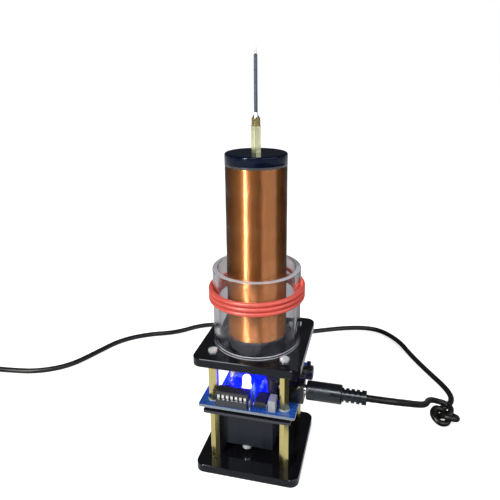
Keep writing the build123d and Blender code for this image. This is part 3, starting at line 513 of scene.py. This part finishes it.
def knotPoint(turn):
    # A trefoil cut at one lobe, coming in on top and leaving below, level at both ends.
    angle = math.radians(knot["turned"] - 2 * turn)
    radius = knot["radius"] + knot["swing"] * math.cos(math.radians(3 * turn))
    rise = knot["rise"] * math.sin(math.radians(3 * turn))
    if turn < knot["level"]:
        rise = knot["rise"]
    if turn > 360 - knot["level"]:
        rise = -knot["rise"]
    height = lead["radius"] + knot["rise"] + rise
    x, y = knot["middle"]
    return (x + radius * math.cos(angle), y + radius * math.sin(angle), height)


def coilPoint(angle):
    # Spirals in on the table, climbs a layer half way, and spirals out on top.
    half = (coil["end"] - coil["start"]) / 2
    turned = angle - coil["start"] - half
    radius = coil["radius"] + coil["pitch"] * (abs(turned) - half / 2) / 360
    part = min(max((turned + 90) / 180, 0), 1)
    height = coil["low"] + coil["layer"] * (1 - math.cos(math.pi * part)) / 2
    way = math.radians(angle)
    x, y = coil["middle"]
    return (x + radius * math.cos(way), y + radius * math.sin(way), height)


def leadPoints():
    points = list(lead["drop"])
    points += [knotPoint(turn) for turn in range(knot["step"] // 2, 360, knot["step"])]
    points += [(x, y, lead["radius"]) for x, y in lead["run"]]
    first = Vector(coilPoint(coil["start"]))
    wayIn = (Vector(coilPoint(coil["start"] + 1)) - first).normalized()     # it meets the first turn in line
    points += [tuple(first - wayIn * back) for back in coil["leadIn"]]
    points += [coilPoint(angle) for angle in range(coil["start"], coil["end"] + 1, coil["step"])]
    return points + lead["tail"]


def smoothLine(name, points, radius, sides=6, fine=8):
    # A round tube along one NURBS spline.
    data = bpy.data.curves.new(name, "CURVE")
    data.dimensions = "3D"
    data.bevel_depth = radius
    data.bevel_resolution = sides
    data.use_fill_caps = True
    data.resolution_u = fine
    spline = data.splines.new("NURBS")
    spline.points.add(len(points) - 1)
    for point, at in zip(spline.points, points):
        point.co = (*at, 1)
    spline.order_u = 3
    spline.use_endpoint_u = True
    line = bpy.data.objects.new(name, data)
    scene.collection.objects.link(line)
    return line


supplyLead = smoothLine("supplyLead", leadPoints(), lead["radius"])
supplyLead.data.materials.append(cordRubber())
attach(supplyLead, "stand")
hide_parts("supply_cord", "cord_knot", "cord_run", "cord_coil", "cord_tail")
print("power lead laid")


# The primary: up from the board, round the tube, out over the top turn and down outside the others.
primary = {
    "radius": 0.02645, "wire": 0.00125, "low": 0.1000, "pitch": 0.00275, "turns": 3,
    "leadAngle": 12,                                        # degrees from the back to each lead
    "boardTop": 0.0436, "rise": (0.056, 0.070, 0.085, 0.0955),
    "firstPoint": 11.4, "lastPoint": 42, "step": 15,        # degrees from the leads, and between points
    "stepOut": 0.0029,
    "outwards": ((30, 0.4), (16, 0.95), (0, 1.0)),          # degrees before the end, share of the step out
    "fall": ((0.1045, 1.0), (0.1010, 1.0), (0.0985, 0.95), (0.0945, 0.05), (0.0920, 0.0), (0.080, 0.0),
             (0.060, 0.0)),                                 # height, share of the step out
}


def primaryPoints():
    start = 90 + primary["leadAngle"]
    end = 90 - primary["leadAngle"] + 360 * primary["turns"]

    def onTube(angle, height, out=0.0):
        way = math.radians(angle)
        radius = primary["radius"] + out
        return (radius * math.cos(way), radius * math.sin(way), height)

    def climb(angle):
        return primary["low"] + primary["pitch"] * (angle - start) / 360

    points = [onTube(start, height) for height in (primary["boardTop"], *primary["rise"], climb(start))]
    angle = start + primary["firstPoint"]
    while angle < end - primary["lastPoint"]:
        points.append(onTube(angle, climb(angle)))
        angle += primary["step"]
    for before, share in primary["outwards"]:
        points.append(onTube(end - before, climb(end - before), primary["stepOut"] * share))
    for height, share in (*primary["fall"], (primary["boardTop"], 0.0)):
        points.append(onTube(end, height, primary["stepOut"] * share))
    return points


primaryTurns = smoothLine("primaryTurns", primaryPoints(), primary["wire"], fine=6)
primaryTurns.data.materials.append(siliconeRed())
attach(primaryTurns, "stand")
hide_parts("primary_winding")
print("primary wound")


# From here Geometry Nodes grow what repeats: the secondary's turns, the knurl, the screws and the rings.

def newTree(name, sizes, counts, places=False):
    # A geometry tree with a named input for each size and count, and for the places if it has them.
    tree = bpy.data.node_groups.new(name, "GeometryNodeTree")
    inputs = [("Places", "NodeSocketGeometry")] if places else []
    inputs += [(label, "NodeSocketFloat") for label in sizes]
    inputs += [(label, "NodeSocketInt") for label in counts]
    for label, kind in inputs:
        tree.interface.new_socket(name=label, in_out="INPUT", socket_type=kind)
    tree.interface.new_socket(name="Geometry", in_out="OUTPUT", socket_type="NodeSocketGeometry")
    return tree, tree.nodes.new("NodeGroupInput").outputs


def finishTree(tree, geometry, finish):
    # Every tree ends alike: plain geometry in its finish.
    real = put(tree, "GeometryNodeRealizeInstances", Geometry=geometry).outputs["Geometry"]
    dressed = put(tree, "GeometryNodeSetMaterial", {"Material": finish}, Geometry=real)
    put(tree, "NodeGroupOutput", Geometry=dressed.outputs["Geometry"])
    return tree


def raised(tree, geometry, height):
    offset = put(tree, "ShaderNodeCombineXYZ", Z=height)
    return put(tree, "GeometryNodeTransform", Geometry=geometry,
               Translation=offset.outputs["Vector"]).outputs["Geometry"]


def swept(tree, path, section):
    # A solid along a path, closed at its ends.
    return put(tree, "GeometryNodeCurveToMesh", {"Fill Caps": True}, Curve=path.outputs["Curve"],
               Profile_Curve=section.outputs["Curve"]).outputs["Mesh"]


def growPiece(name, tree, values, source=None):
    # Runs a geometry tree and keeps its result as a plain mesh at the origin.
    holder = bpy.data.objects.new(name + "Holder", source or bpy.data.meshes.new(name + "Seed"))
    scene.collection.objects.link(holder)
    modifier = holder.modifiers.new("grow", "NODES")
    modifier.node_group = tree
    sockets = {item.name: item.identifier for item in tree.interface.items_tree if item.in_out == "INPUT"}
    for key, value in values.items():
        modifier[sockets[key]] = value
    bpy.context.view_layer.update()
    graph = bpy.context.evaluated_depsgraph_get()
    made = bpy.data.meshes.new_from_object(holder.evaluated_get(graph))
    holder.modifiers.remove(modifier)
    bpy.data.objects.remove(holder)
    made.name = name
    piece = bpy.data.objects.new(name, made)
    scene.collection.objects.link(piece)
    return piece


secondary = {"core": 0.01652, "bottom": 0.0795, "top": 0.1763, "wire": 0.00033, "around": 56, "sides": 5}


def windingTree(finish):
    # A helix of round wire, one turn against the next.
    tree, start = newTree("windingTree", ("Core Radius", "Height", "Bottom", "Wire", "Turns"),
                          ("Around", "Sides"))
    wireRadius = maths(tree, "MULTIPLY", start["Wire"], 0.5)
    middle = maths(tree, "ADD", start["Core Radius"], wireRadius)
    spiral = put(tree, "GeometryNodeCurveSpiral", Resolution=start["Around"], Rotations=start["Turns"],
                 Start_Radius=middle, End_Radius=middle, Height=start["Height"])
    section = put(tree, "GeometryNodeCurvePrimitiveCircle", Resolution=start["Sides"], Radius=wireRadius)
    wire = raised(tree, swept(tree, spiral, section), start["Bottom"])
    smooth = put(tree, "GeometryNodeSetShadeSmooth", Geometry=wire)
    return finishTree(tree, smooth.outputs["Geometry"], finish)


wound = secondary["top"] - secondary["bottom"] - secondary["wire"]      # between the first and last turns
secondaryTurns = growPiece("secondaryTurns", windingTree(enamelCopper()), {
    "Core Radius": secondary["core"], "Height": wound, "Wire": secondary["wire"],
    "Bottom": secondary["bottom"] + secondary["wire"] / 2, "Turns": wound / secondary["wire"],
    "Around": secondary["around"], "Sides": secondary["sides"]})
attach(secondaryTurns, "stand")
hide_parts("secondary_winding")
print("secondary wound:", len(secondaryTurns.data.polygons), "faces")


# Two knurled bands with a groove between them, whose wide ridges run into one another.
ferrule = {"length": 0.0041, "radius": 0.0023, "ridges": 26, "ridge": 0.00036, "groove": 0.0007,
           "grooveRidge": 0.0008, "ridgeShare": 0.86, "coreSides": 48, "ridgeSides": 6}


def knurlTree(finish):
    # A round core with a ring of upright ridges.
    tree, start = newTree("knurlTree", ("Radius", "Height", "Bottom", "Ridge"), ("Count",))
    ridgeRadius = maths(tree, "MULTIPLY", start["Ridge"], 0.5)
    coreRadius = maths(tree, "SUBTRACT", start["Radius"], ridgeRadius)
    core = put(tree, "GeometryNodeMeshCylinder", {"Vertices": ferrule["coreSides"]}, Radius=coreRadius,
               Depth=start["Height"])
    ring = put(tree, "GeometryNodeMeshCircle", Vertices=start["Count"], Radius=coreRadius)
    ridge = put(tree, "GeometryNodeMeshCylinder", {"Vertices": ferrule["ridgeSides"]}, Radius=ridgeRadius,
                Depth=maths(tree, "MULTIPLY", start["Height"], ferrule["ridgeShare"]))
    onRing = put(tree, "GeometryNodeInstanceOnPoints", Points=ring.outputs["Mesh"],
                 Instance=ridge.outputs["Mesh"])
    both = put(tree, "GeometryNodeJoinGeometry", Geometry=core.outputs["Mesh"])
    feed(tree, both, Geometry=onRing.outputs["Instances"])
    middle = maths(tree, "ADD", start["Bottom"], maths(tree, "MULTIPLY", start["Height"], 0.5))
    return finishTree(tree, raised(tree, both.outputs["Geometry"], middle), finish)


def joined(name, pieces):
    # One plain mesh out of several.
    whole = bmesh.new()
    for piece in pieces:
        whole.from_mesh(piece.data)
    data = pieces[0].data
    whole.to_mesh(data)
    whole.free()
    for piece in pieces[1:]:
        bpy.data.objects.remove(piece)
    pieces[0].name = data.name = name
    return pieces[0]


def knurlBands():
    # The lower band, the groove and the upper band, from the foot of the CAD ferrule up.
    finish = brassDrawn("knurlBrass", (0.38, 0.31, 0.14), (1, 1, 1))
    band = (ferrule["length"] - ferrule["groove"]) / 2
    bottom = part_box("needle_ferrule")[0][2]
    bands = []
    for lift, tall, ridge in ((0.0, band, ferrule["ridge"]),
                              (band, ferrule["groove"], ferrule["grooveRidge"]),
                              (band + ferrule["groove"], band, ferrule["ridge"])):
        bands.append(growPiece("ferruleBand", knurlTree(finish), {
            "Count": ferrule["ridges"], "Radius": ferrule["radius"], "Height": tall,
            "Bottom": bottom + lift, "Ridge": ridge}))
    return bands


knurledFerrule = joined("knurledFerrule", knurlBands())
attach(knurledFerrule, "stand")
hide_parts("needle_ferrule")
print("ferrule knurled:", len(knurledFerrule.data.polygons), "faces")


# Pan-head screws. The inset is from the CAD heads' box to their middles, the seat is the CAD heads' height,
# and the seed chooses the angle each one stops at. The two under the heat sink are turned head down.
deckScrew = {"thread": 0.00145, "pitch": 0.0005, "length": 0.0080, "radius": 0.0026, "height": 0.0020,
             "cross": 0.0028, "slot": 0.0007, "turned": 0.0, "inset": 0.0026, "seat": 0.0020, "seed": 3}
sinkScrew = {"thread": 0.00145, "pitch": 0.0005, "length": 0.0312, "radius": 0.0028, "height": 0.0030,
             "cross": 0.0030, "slot": 0.0008, "turned": math.pi, "inset": 0.0026, "seat": 0.0020, "seed": 7}
screwForm = {
    "headSides": 32, "headRings": 5, "sideRings": 2, "coreSides": 20, "threadSteps": 18, "threadSides": 4,
    "domeFall": 0.42, "domeFrom": 0.0002,                    # share of the head's height, and its start
    "core": 0.86, "threadLine": 0.90, "threadHalf": 0.10,    # shares of the thread's radius
}


def domedHead(tree, start):
    # A pan head, domed on top, with two crossing bars cut out of it.
    head = put(tree, "GeometryNodeMeshCylinder", {
        "Vertices": screwForm["headSides"], "Side Segments": screwForm["sideRings"],
        "Fill Segments": screwForm["headRings"]}, Radius=start["Head Radius"], Depth=start["Head Height"])
    # The top falls with the square of the distance from the axis.
    position = put(tree, "GeometryNodeInputPosition").outputs["Position"]
    here = put(tree, "ShaderNodeSeparateXYZ", Vector=position).outputs
    squares = [maths(tree, "MULTIPLY", here[axis], here[axis]) for axis in ("X", "Y")]
    share = maths(tree, "DIVIDE", maths(tree, "ADD", *squares),
                  maths(tree, "MULTIPLY", start["Head Radius"], start["Head Radius"]))
    fall = maths(tree, "MULTIPLY", maths(tree, "MULTIPLY", share, start["Head Height"]),
                 -screwForm["domeFall"])
    isTop = maths(tree, "GREATER_THAN", here["Z"], screwForm["domeFrom"])
    drop = put(tree, "ShaderNodeCombineXYZ", Z=maths(tree, "MULTIPLY", fall, isTop)).outputs["Vector"]
    dome = put(tree, "GeometryNodeSetPosition", Geometry=head.outputs["Mesh"], Offset=drop)
    seated = raised(tree, dome.outputs["Geometry"], maths(tree, "MULTIPLY", start["Head Height"], 0.5))
    cut = put(tree, "GeometryNodeMeshBoolean", {"operation": "DIFFERENCE"}, Mesh_1=seated)
    for wide, deep in (("Cross Span", "Cross Width"), ("Cross Width", "Cross Span")):
        size = put(tree, "ShaderNodeCombineXYZ", X=start[wide], Y=start[deep], Z=start["Head Height"])
        bar = put(tree, "GeometryNodeMeshCube", Size=size.outputs["Vector"])
        feed(tree, cut, Mesh_2=raised(tree, bar.outputs["Mesh"], start["Head Height"]))
    return cut.outputs["Mesh"]


def threadedShank(tree, start):
    # A core and the spiral ridge of its thread, both down from the head.
    core = put(tree, "GeometryNodeMeshCylinder", {"Vertices": screwForm["coreSides"]},
               Radius=maths(tree, "MULTIPLY", start["Thread Radius"], screwForm["core"]),
               Depth=start["Length"])
    line = maths(tree, "MULTIPLY", start["Thread Radius"], screwForm["threadLine"])
    turns = maths(tree, "DIVIDE", start["Length"], start["Thread Pitch"])
    spiral = put(tree, "GeometryNodeCurveSpiral", {"Resolution": screwForm["threadSteps"]}, Rotations=turns,
                 Start_Radius=line, End_Radius=line, Height=start["Length"])
    ridge = put(tree, "GeometryNodeCurvePrimitiveCircle", {"Resolution": screwForm["threadSides"]},
                Radius=maths(tree, "MULTIPLY", start["Thread Radius"], screwForm["threadHalf"]))
    return (raised(tree, core.outputs["Mesh"], maths(tree, "MULTIPLY", start["Length"], -0.5)),
            raised(tree, swept(tree, spiral, ridge), maths(tree, "MULTIPLY", start["Length"], -1.0)))


def screwTree(name, finish):
    # One screw at each of the places, each stopped at its own angle.
    tree, start = newTree(name, ("Head Radius", "Head Height", "Thread Radius", "Thread Pitch", "Length",
                                 "Cross Span", "Cross Width", "Turned"), ("Seed",), places=True)
    whole = put(tree, "GeometryNodeJoinGeometry")
    for part in (domedHead(tree, start), *threadedShank(tree, start)):
        feed(tree, whole, Geometry=part)
    anyTurn = put(tree, "FunctionNodeRandomValue", {"data_type": "FLOAT"}, Seed=start["Seed"])
    anyTurn.inputs[3].default_value = math.tau        # the largest value it gives
    turn = put(tree, "ShaderNodeCombineXYZ", X=start["Turned"], Z=anyTurn.outputs[1])
    onPlaces = put(tree, "GeometryNodeInstanceOnPoints", Points=start["Places"],
                   Instance=whole.outputs["Geometry"], Rotation=turn.outputs["Vector"])
    return finishTree(tree, onPlaces.outputs["Instances"], finish)


def placesMesh(name, places):
    mesh = bpy.data.meshes.new(name)
    mesh.from_pydata(places, [], [])
    return mesh


def setScrews(name, screw, places, node, finish):
    piece = growPiece(name, screwTree(name + "Tree", finish), {
        "Head Radius": screw["radius"], "Head Height": screw["height"], "Thread Radius": screw["thread"],
        "Thread Pitch": screw["pitch"], "Length": screw["length"], "Cross Span": screw["cross"],
        "Cross Width": screw["slot"], "Turned": screw["turned"], "Seed": screw["seed"]},
        placesMesh(name + "Places", places))
    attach(piece, "stand")
    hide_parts(node)
    print(name + ":", len(piece.data.polygons), "faces")


zincScrew = metalPlated("zincScrew", (0.88, 0.91, 0.95), (0.15, 0.24), 0.57, 0.03)
low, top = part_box("top_screws")
inset = deckScrew["inset"]
deckPlaces = [(x, y, top[2] - deckScrew["seat"]) for x in (low[0] + inset, top[0] - inset)
              for y in (low[1] + inset, top[1] - inset)]
setScrews("deckScrews", deckScrew, deckPlaces, "top_screws", zincScrew)
low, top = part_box("sink_screws")
inset = sinkScrew["inset"]
sinkPlaces = [((low[0] + top[0]) / 2, y, low[2] + sinkScrew["seat"])
              for y in (low[1] + inset, top[1] - inset)]
setScrews("sinkScrews", sinkScrew, sinkPlaces, "sink_screws", zincScrew)


# Tinned rings on the board, round the feet of the upper posts.
boardRing = {"hole": 0.0017, "edge": 0.0032, "thick": 0.00004, "around": 48, "inset": 0.0028}


def ringTree(finish):
    # A flat ring at each of the places.
    tree, start = newTree("ringTree", ("Hole Radius", "Edge Radius", "Thickness"), ("Around",), places=True)
    both = maths(tree, "ADD", start["Hole Radius"], start["Edge Radius"])
    circle = put(tree, "GeometryNodeCurvePrimitiveCircle", Resolution=start["Around"],
                 Radius=maths(tree, "MULTIPLY", both, 0.5))
    section = put(tree, "GeometryNodeCurvePrimitiveQuadrilateral", Height=start["Thickness"],
                  Width=maths(tree, "SUBTRACT", start["Edge Radius"], start["Hole Radius"]))
    onPlaces = put(tree, "GeometryNodeInstanceOnPoints", Points=start["Places"],
                   Instance=swept(tree, circle, section))
    return finishTree(tree, onPlaces.outputs["Instances"], finish)


low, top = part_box("upper_posts")
reach = (top[0] - low[0]) / 2 - boardRing["inset"]
ringPlaces = [(x, y, low[2] + boardRing["thick"] / 2) for x in (-reach, reach) for y in (-reach, reach)]
tinned = metalPlated("tinnedCopper", (0.28, 0.36, 0.45), (0.45, 0.62), 0.2, 0.05)
boardRings = growPiece("boardRings", ringTree(tinned), {
    "Hole Radius": boardRing["hole"], "Edge Radius": boardRing["edge"], "Thickness": boardRing["thick"],
    "Around": boardRing["around"]}, placesMesh("ringPlaces", ringPlaces))
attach(boardRings, "stand")
print("board rings:", len(boardRings.data.polygons), "faces")


def dress(finish, *names):
    # Each CAD piece takes the finish all over.
    for name in names:
        data = cadNodes[name].data
        if not data.materials:
            data.materials.append(finish)
        for index in range(len(data.materials)):
            data.materials[index] = finish


dress(acrylicBlack(), "base_plate", "top_plate")
dress(carrierLaminate(), "carrier_sheet")
dress(boardLacquer(), "driver_board")
dress(acrylicClear(), "primary_former")
dress(capBlack(), "top_cap")
dress(windingTape(), "end_tapes")
dress(enamelCopper("enamelLead"), "end_wires")
dress(anodisedBlack(), "heat_sink")
dress(solderBright("solderBright"), "solder_cone")
dress(solderBright("solderJoints"), "solder_joints")
dress(groundSteel(), "discharge_needle")
dress(shrinkSleeve(), "needle_sleeve")
dress(canSleeve(), "electrolytic_capacitors")
dress(lampLit(), "status_led")

# Metals: how each is worked, its tint, and the pieces that have it.
metals = {
    "steelPlated": (metalPlated, (0.66, 0.66, 0.67), "base_screws", "spacer_nuts", "sink_nuts",
                    "transistor_screws", "foot_screw", "terminal_screw"),
    "postBrass": (brassDrawn, (0.60, 0.52, 0.22), "lower_posts", "upper_posts"),
    "terminalBrass": (brassDrawn, (0.82, 0.85, 0.54), "terminal_post"),
    "shaftMetal": (metalPlated, (0.60, 0.60, 0.61), "tuning_shaft"),
    "barrelNickel": (metalPlated, (0.74, 0.74, 0.74), "plug_barrel"),
}
for finishName, (worked, tint, *pieceNames) in metals.items():
    dress(worked(finishName, tint), *pieceNames)

# Plain plastics and coatings: tint, roughness, and the pieces that have it.
plastics = {
    "pipeBlack": ((0.008, 0.008, 0.010), 0.20, "secondary_pipe", "foot_plug"),
    "padGrey": ((0.30, 0.32, 0.34), 0.6, "insulating_pads"),
    "socketBlack": ((0.022, 0.027, 0.034), 0.35, "chip_socket"),
    "filmPale": ((0.28, 0.29, 0.32), 0.30, "film_capacitor"),
    "resistorCoat": ((0.20, 0.40, 0.50), 0.30, "resistors"),
    "jackPlastic": ((0.010, 0.010, 0.012), 0.24, "power_jack"),
    "controlBody": ((0.020, 0.017, 0.013), 0.30, "potentiometer"),
    "knobPlastic": ((0.012, 0.012, 0.014), 0.38, "tuning_knob"),
    "tieStrap": ((0.012, 0.012, 0.014), 0.45, "cord_tie"),
}
for finishName, (tint, rough, *pieceNames) in plastics.items():
    dress(moulded(finishName, tint, rough), *pieceNames)
# The plug's faint blue and the blue tint of its reflections are a painted blue cast of light.
dress(moulded("plugMould", (0.003, 0.004, 0.007), 0.25, level=0.5, paintedShine=(0.85, 0.93, 1.0), bump=0.02),
      "dc_plug", "inline_socket")

# Parts on legs: piece, tint, roughness, and the tests that find their bare metal.
legged = {
    "logicBody": ("logic_chip", (0.016, 0.016, 0.018), 0.42, (away, "Y", -0.0219, 0.0033),
                  (below, "Z", 0.0479)),
    "driverBody": ("gate_driver", (0.016, 0.016, 0.018), 0.42, (away, "X", 0.0074, 0.0033)),
    "transistorBody": ("power_transistors", (0.014, 0.014, 0.016), 0.40, (above, "Z", 0.0296),
                       (below, "Z", 0.0202)),
    "regulatorBody": ("regulator", (0.014, 0.014, 0.016), 0.40, (above, "Z", 0.0560), (below, "Z", 0.0465)),
    # The ceramic capacitors' dark blue is the blue lamp's light, painted into their colour.
    "dippedCeramic": ("ceramic_capacitors", (0.035, 0.055, 0.13), 0.36, (below, "Z", 0.0449)),
}
for finishName, (pieceName, tint, rough, *bareMetal) in legged.items():
    dress(leggedBody(finishName, tint, rough, bareMetal), pieceName)

cadNodes["primary_former"].visible_shadow = False    # light reaches the winding through the tube
print("finishes given")


# Handled edges catch the light: the split edges are welded, then those sharper than an angle are rounded.
softened = {"heat_sink": 0.00012, "power_jack": 0.00012, "potentiometer": 0.00012, "chip_socket": 0.00012,
            "top_cap": 0.0005}
softening = {"weldWithin": 0.000002, "sharperThan": 32, "steps": 2}

for name, width in softened.items():
    weld = cadNodes[name].modifiers.new("weld", "WELD")
    weld.merge_threshold = softening["weldWithin"]
    bevel = cadNodes[name].modifiers.new("soften", "BEVEL")
    bevel.width, bevel.segments, bevel.limit_method = width, softening["steps"], "ANGLE"
    bevel.angle_limit = math.radians(softening["sharperThan"])
print("edges softened:", len(softened), "pieces")


# The stage. Table and backdrop are as bright as each kind of ray needs: where they light the pieces, where
# they are seen, looked at through the clear tube, or mirrored in polished ones.
tableTop = {"half": 3.0, "colour": (0.80, 0.80, 0.80), "below": 0.0002,
            "lighting": 0.0, "seen": 0.66, "throughTube": 0.04, "mirrored": 0.06, "tubeShade": 0.5}
backdrop = {"lighting": 0.45, "seen": 1.0, "throughTube": 0.60, "mirrored": 0.10}
darkCard = {"x": (0.06, 0.40), "y": (-0.45, 0.35), "below": 0.0001,
            "colour": (0.01, 0.01, 0.012), "rough": 0.9}


def byRay(tree, strengths):
    rays = put(tree, "ShaderNodeLightPath").outputs
    lighting = strength = strengths["lighting"]
    left = 1.0
    for kind, key in (("Is Camera Ray", "seen"), ("Is Transmission Ray", "throughTube"),
                      ("Is Glossy Ray", "mirrored")):
        share = maths(tree, "MULTIPLY", rays[kind], left)
        left = maths(tree, "SUBTRACT", left, share)
        strength = maths(tree, "ADD", strength, maths(tree, "MULTIPLY", share, strengths[key] - lighting))
    return strength


def tablePale():
    # Lit and shadowed as a surface, with a little light of its own.
    mat = bpy.data.materials.new("tablePale")
    mat.use_nodes = True
    tree = mat.node_tree
    tree.nodes.remove(tree.nodes["Principled BSDF"])
    clearRay = put(tree, "ShaderNodeLightPath").outputs["Is Transmission Ray"]
    darker = shade(tableTop["colour"], tableTop["tubeShade"])
    surface = put(tree, "ShaderNodeBsdfDiffuse",
                  Color=blendColours(tree, clearRay, tableTop["colour"], darker))
    light = put(tree, "ShaderNodeEmission", {"Color": (1, 1, 1, 1)}, Strength=byRay(tree, tableTop))
    both = tree.nodes.new("ShaderNodeAddShader")
    tree.links.new(surface.outputs[0], both.inputs[0])
    tree.links.new(light.outputs[0], both.inputs[1])
    feed(tree, tree.nodes["Material Output"], Surface=both.outputs[0])
    return mat


def laySheet(name, x, y, below, finish):
    # A flat sheet a hair under the object, which is no piece of it.
    corners = [(x[0], y[0], 0), (x[1], y[0], 0), (x[1], y[1], 0), (x[0], y[1], 0)]
    mesh = bpy.data.meshes.new(name)
    mesh.from_pydata(corners, [], [(0, 1, 2, 3)])
    mesh.materials.append(finish)
    sheet = bpy.data.objects.new(name, mesh)
    scene.collection.objects.link(sheet)
    sheet.location.z = -below
    sheet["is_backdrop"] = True
    return sheet


def layCard():
    # A dark card on the table at the right, which only polished pieces show.
    finish = newFinish("cardBlack", {"Base Color": (*darkCard["colour"], 1),
                                     "Roughness": darkCard["rough"]})[0]
    card = laySheet("darkCard", darkCard["x"], darkCard["y"], darkCard["below"], finish)
    card.visible_camera = card.visible_diffuse = card.visible_transmission = card.visible_shadow = False


def setWorld():
    world = bpy.data.worlds.new("studio")
    scene.world = world
    world.use_nodes = True
    sky = world.node_tree.nodes["Background"]
    sky.inputs["Color"].default_value = (1, 1, 1, 1)
    feed(world.node_tree, sky, Strength=byRay(world.node_tree, backdrop))


# Lamps: place, size across and up, watts and colour. A shineOnly lamp shows in highlights alone.
aim = (0, 0, 0.1)
lamps = {
    "keyLamp": {"at": (-0.45, -0.84, 0.62), "size": (0.07, 0.80), "power": 11.0,
                "colour": (1.0, 0.98, 0.95)},
    "streakLamp": {"at": (-0.45, -0.84, 0.56), "size": (0.035, 0.90), "power": 12.0,
                   "colour": (1.0, 0.97, 0.90), "shineOnly": True},
    "fillLamp": {"at": (0.95, -0.27, 0.55), "size": (0.70, 0.70), "power": 5.4,
                 "colour": (0.95, 0.97, 1.0)},
    "humpLamp": {"at": (0.66, -0.68, 0.50), "size": (0.34, 0.70), "power": 3.1,
                 "colour": (0.97, 0.98, 1.0), "shineOnly": True},
    "crestLamp": {"at": (-0.29, -0.56, 0.80), "size": (0.12, 0.30), "power": 1.8, "shineOnly": True},
    "highLamp": {"at": (0.03, -0.62, 0.80), "size": (0.26, 0.26), "power": 3.2, "shineOnly": True,
                 "leavesOut": (secondaryTurns,)},
}


def areaLamp(name, at, size, power, colour=(1, 1, 1), shineOnly=False, leavesOut=()):
    data = bpy.data.lights.new(name, "AREA")
    data.energy = power
    data.shape = "RECTANGLE"
    data.size, data.size_y = size
    data.color = colour
    light = bpy.data.objects.new(name, data)
    scene.collection.objects.link(light)
    light.location = at
    light.rotation_euler = (Vector(aim) - Vector(at)).to_track_quat("-Z", "Y").to_euler()
    light.visible_diffuse = not shineOnly
    if leavesOut:                            # it lights everything but these pieces
        group = bpy.data.collections.new(name + "LeavesOut")
        for piece in leavesOut:
            group.objects.link(piece)
        light.light_linking.receiver_collection = group
        for entry in group.collection_objects:
            entry.light_linking.link_state = "EXCLUDE"


laySheet("tableTop", (-tableTop["half"], tableTop["half"]), (-tableTop["half"], tableTop["half"]),
         tableTop["below"], tablePale())
layCard()
setWorld()
for lampName, facts in lamps.items():
    areaLamp(lampName, **facts)
scene.view_settings.view_transform = "Standard"
print("stage set")

low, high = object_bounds()
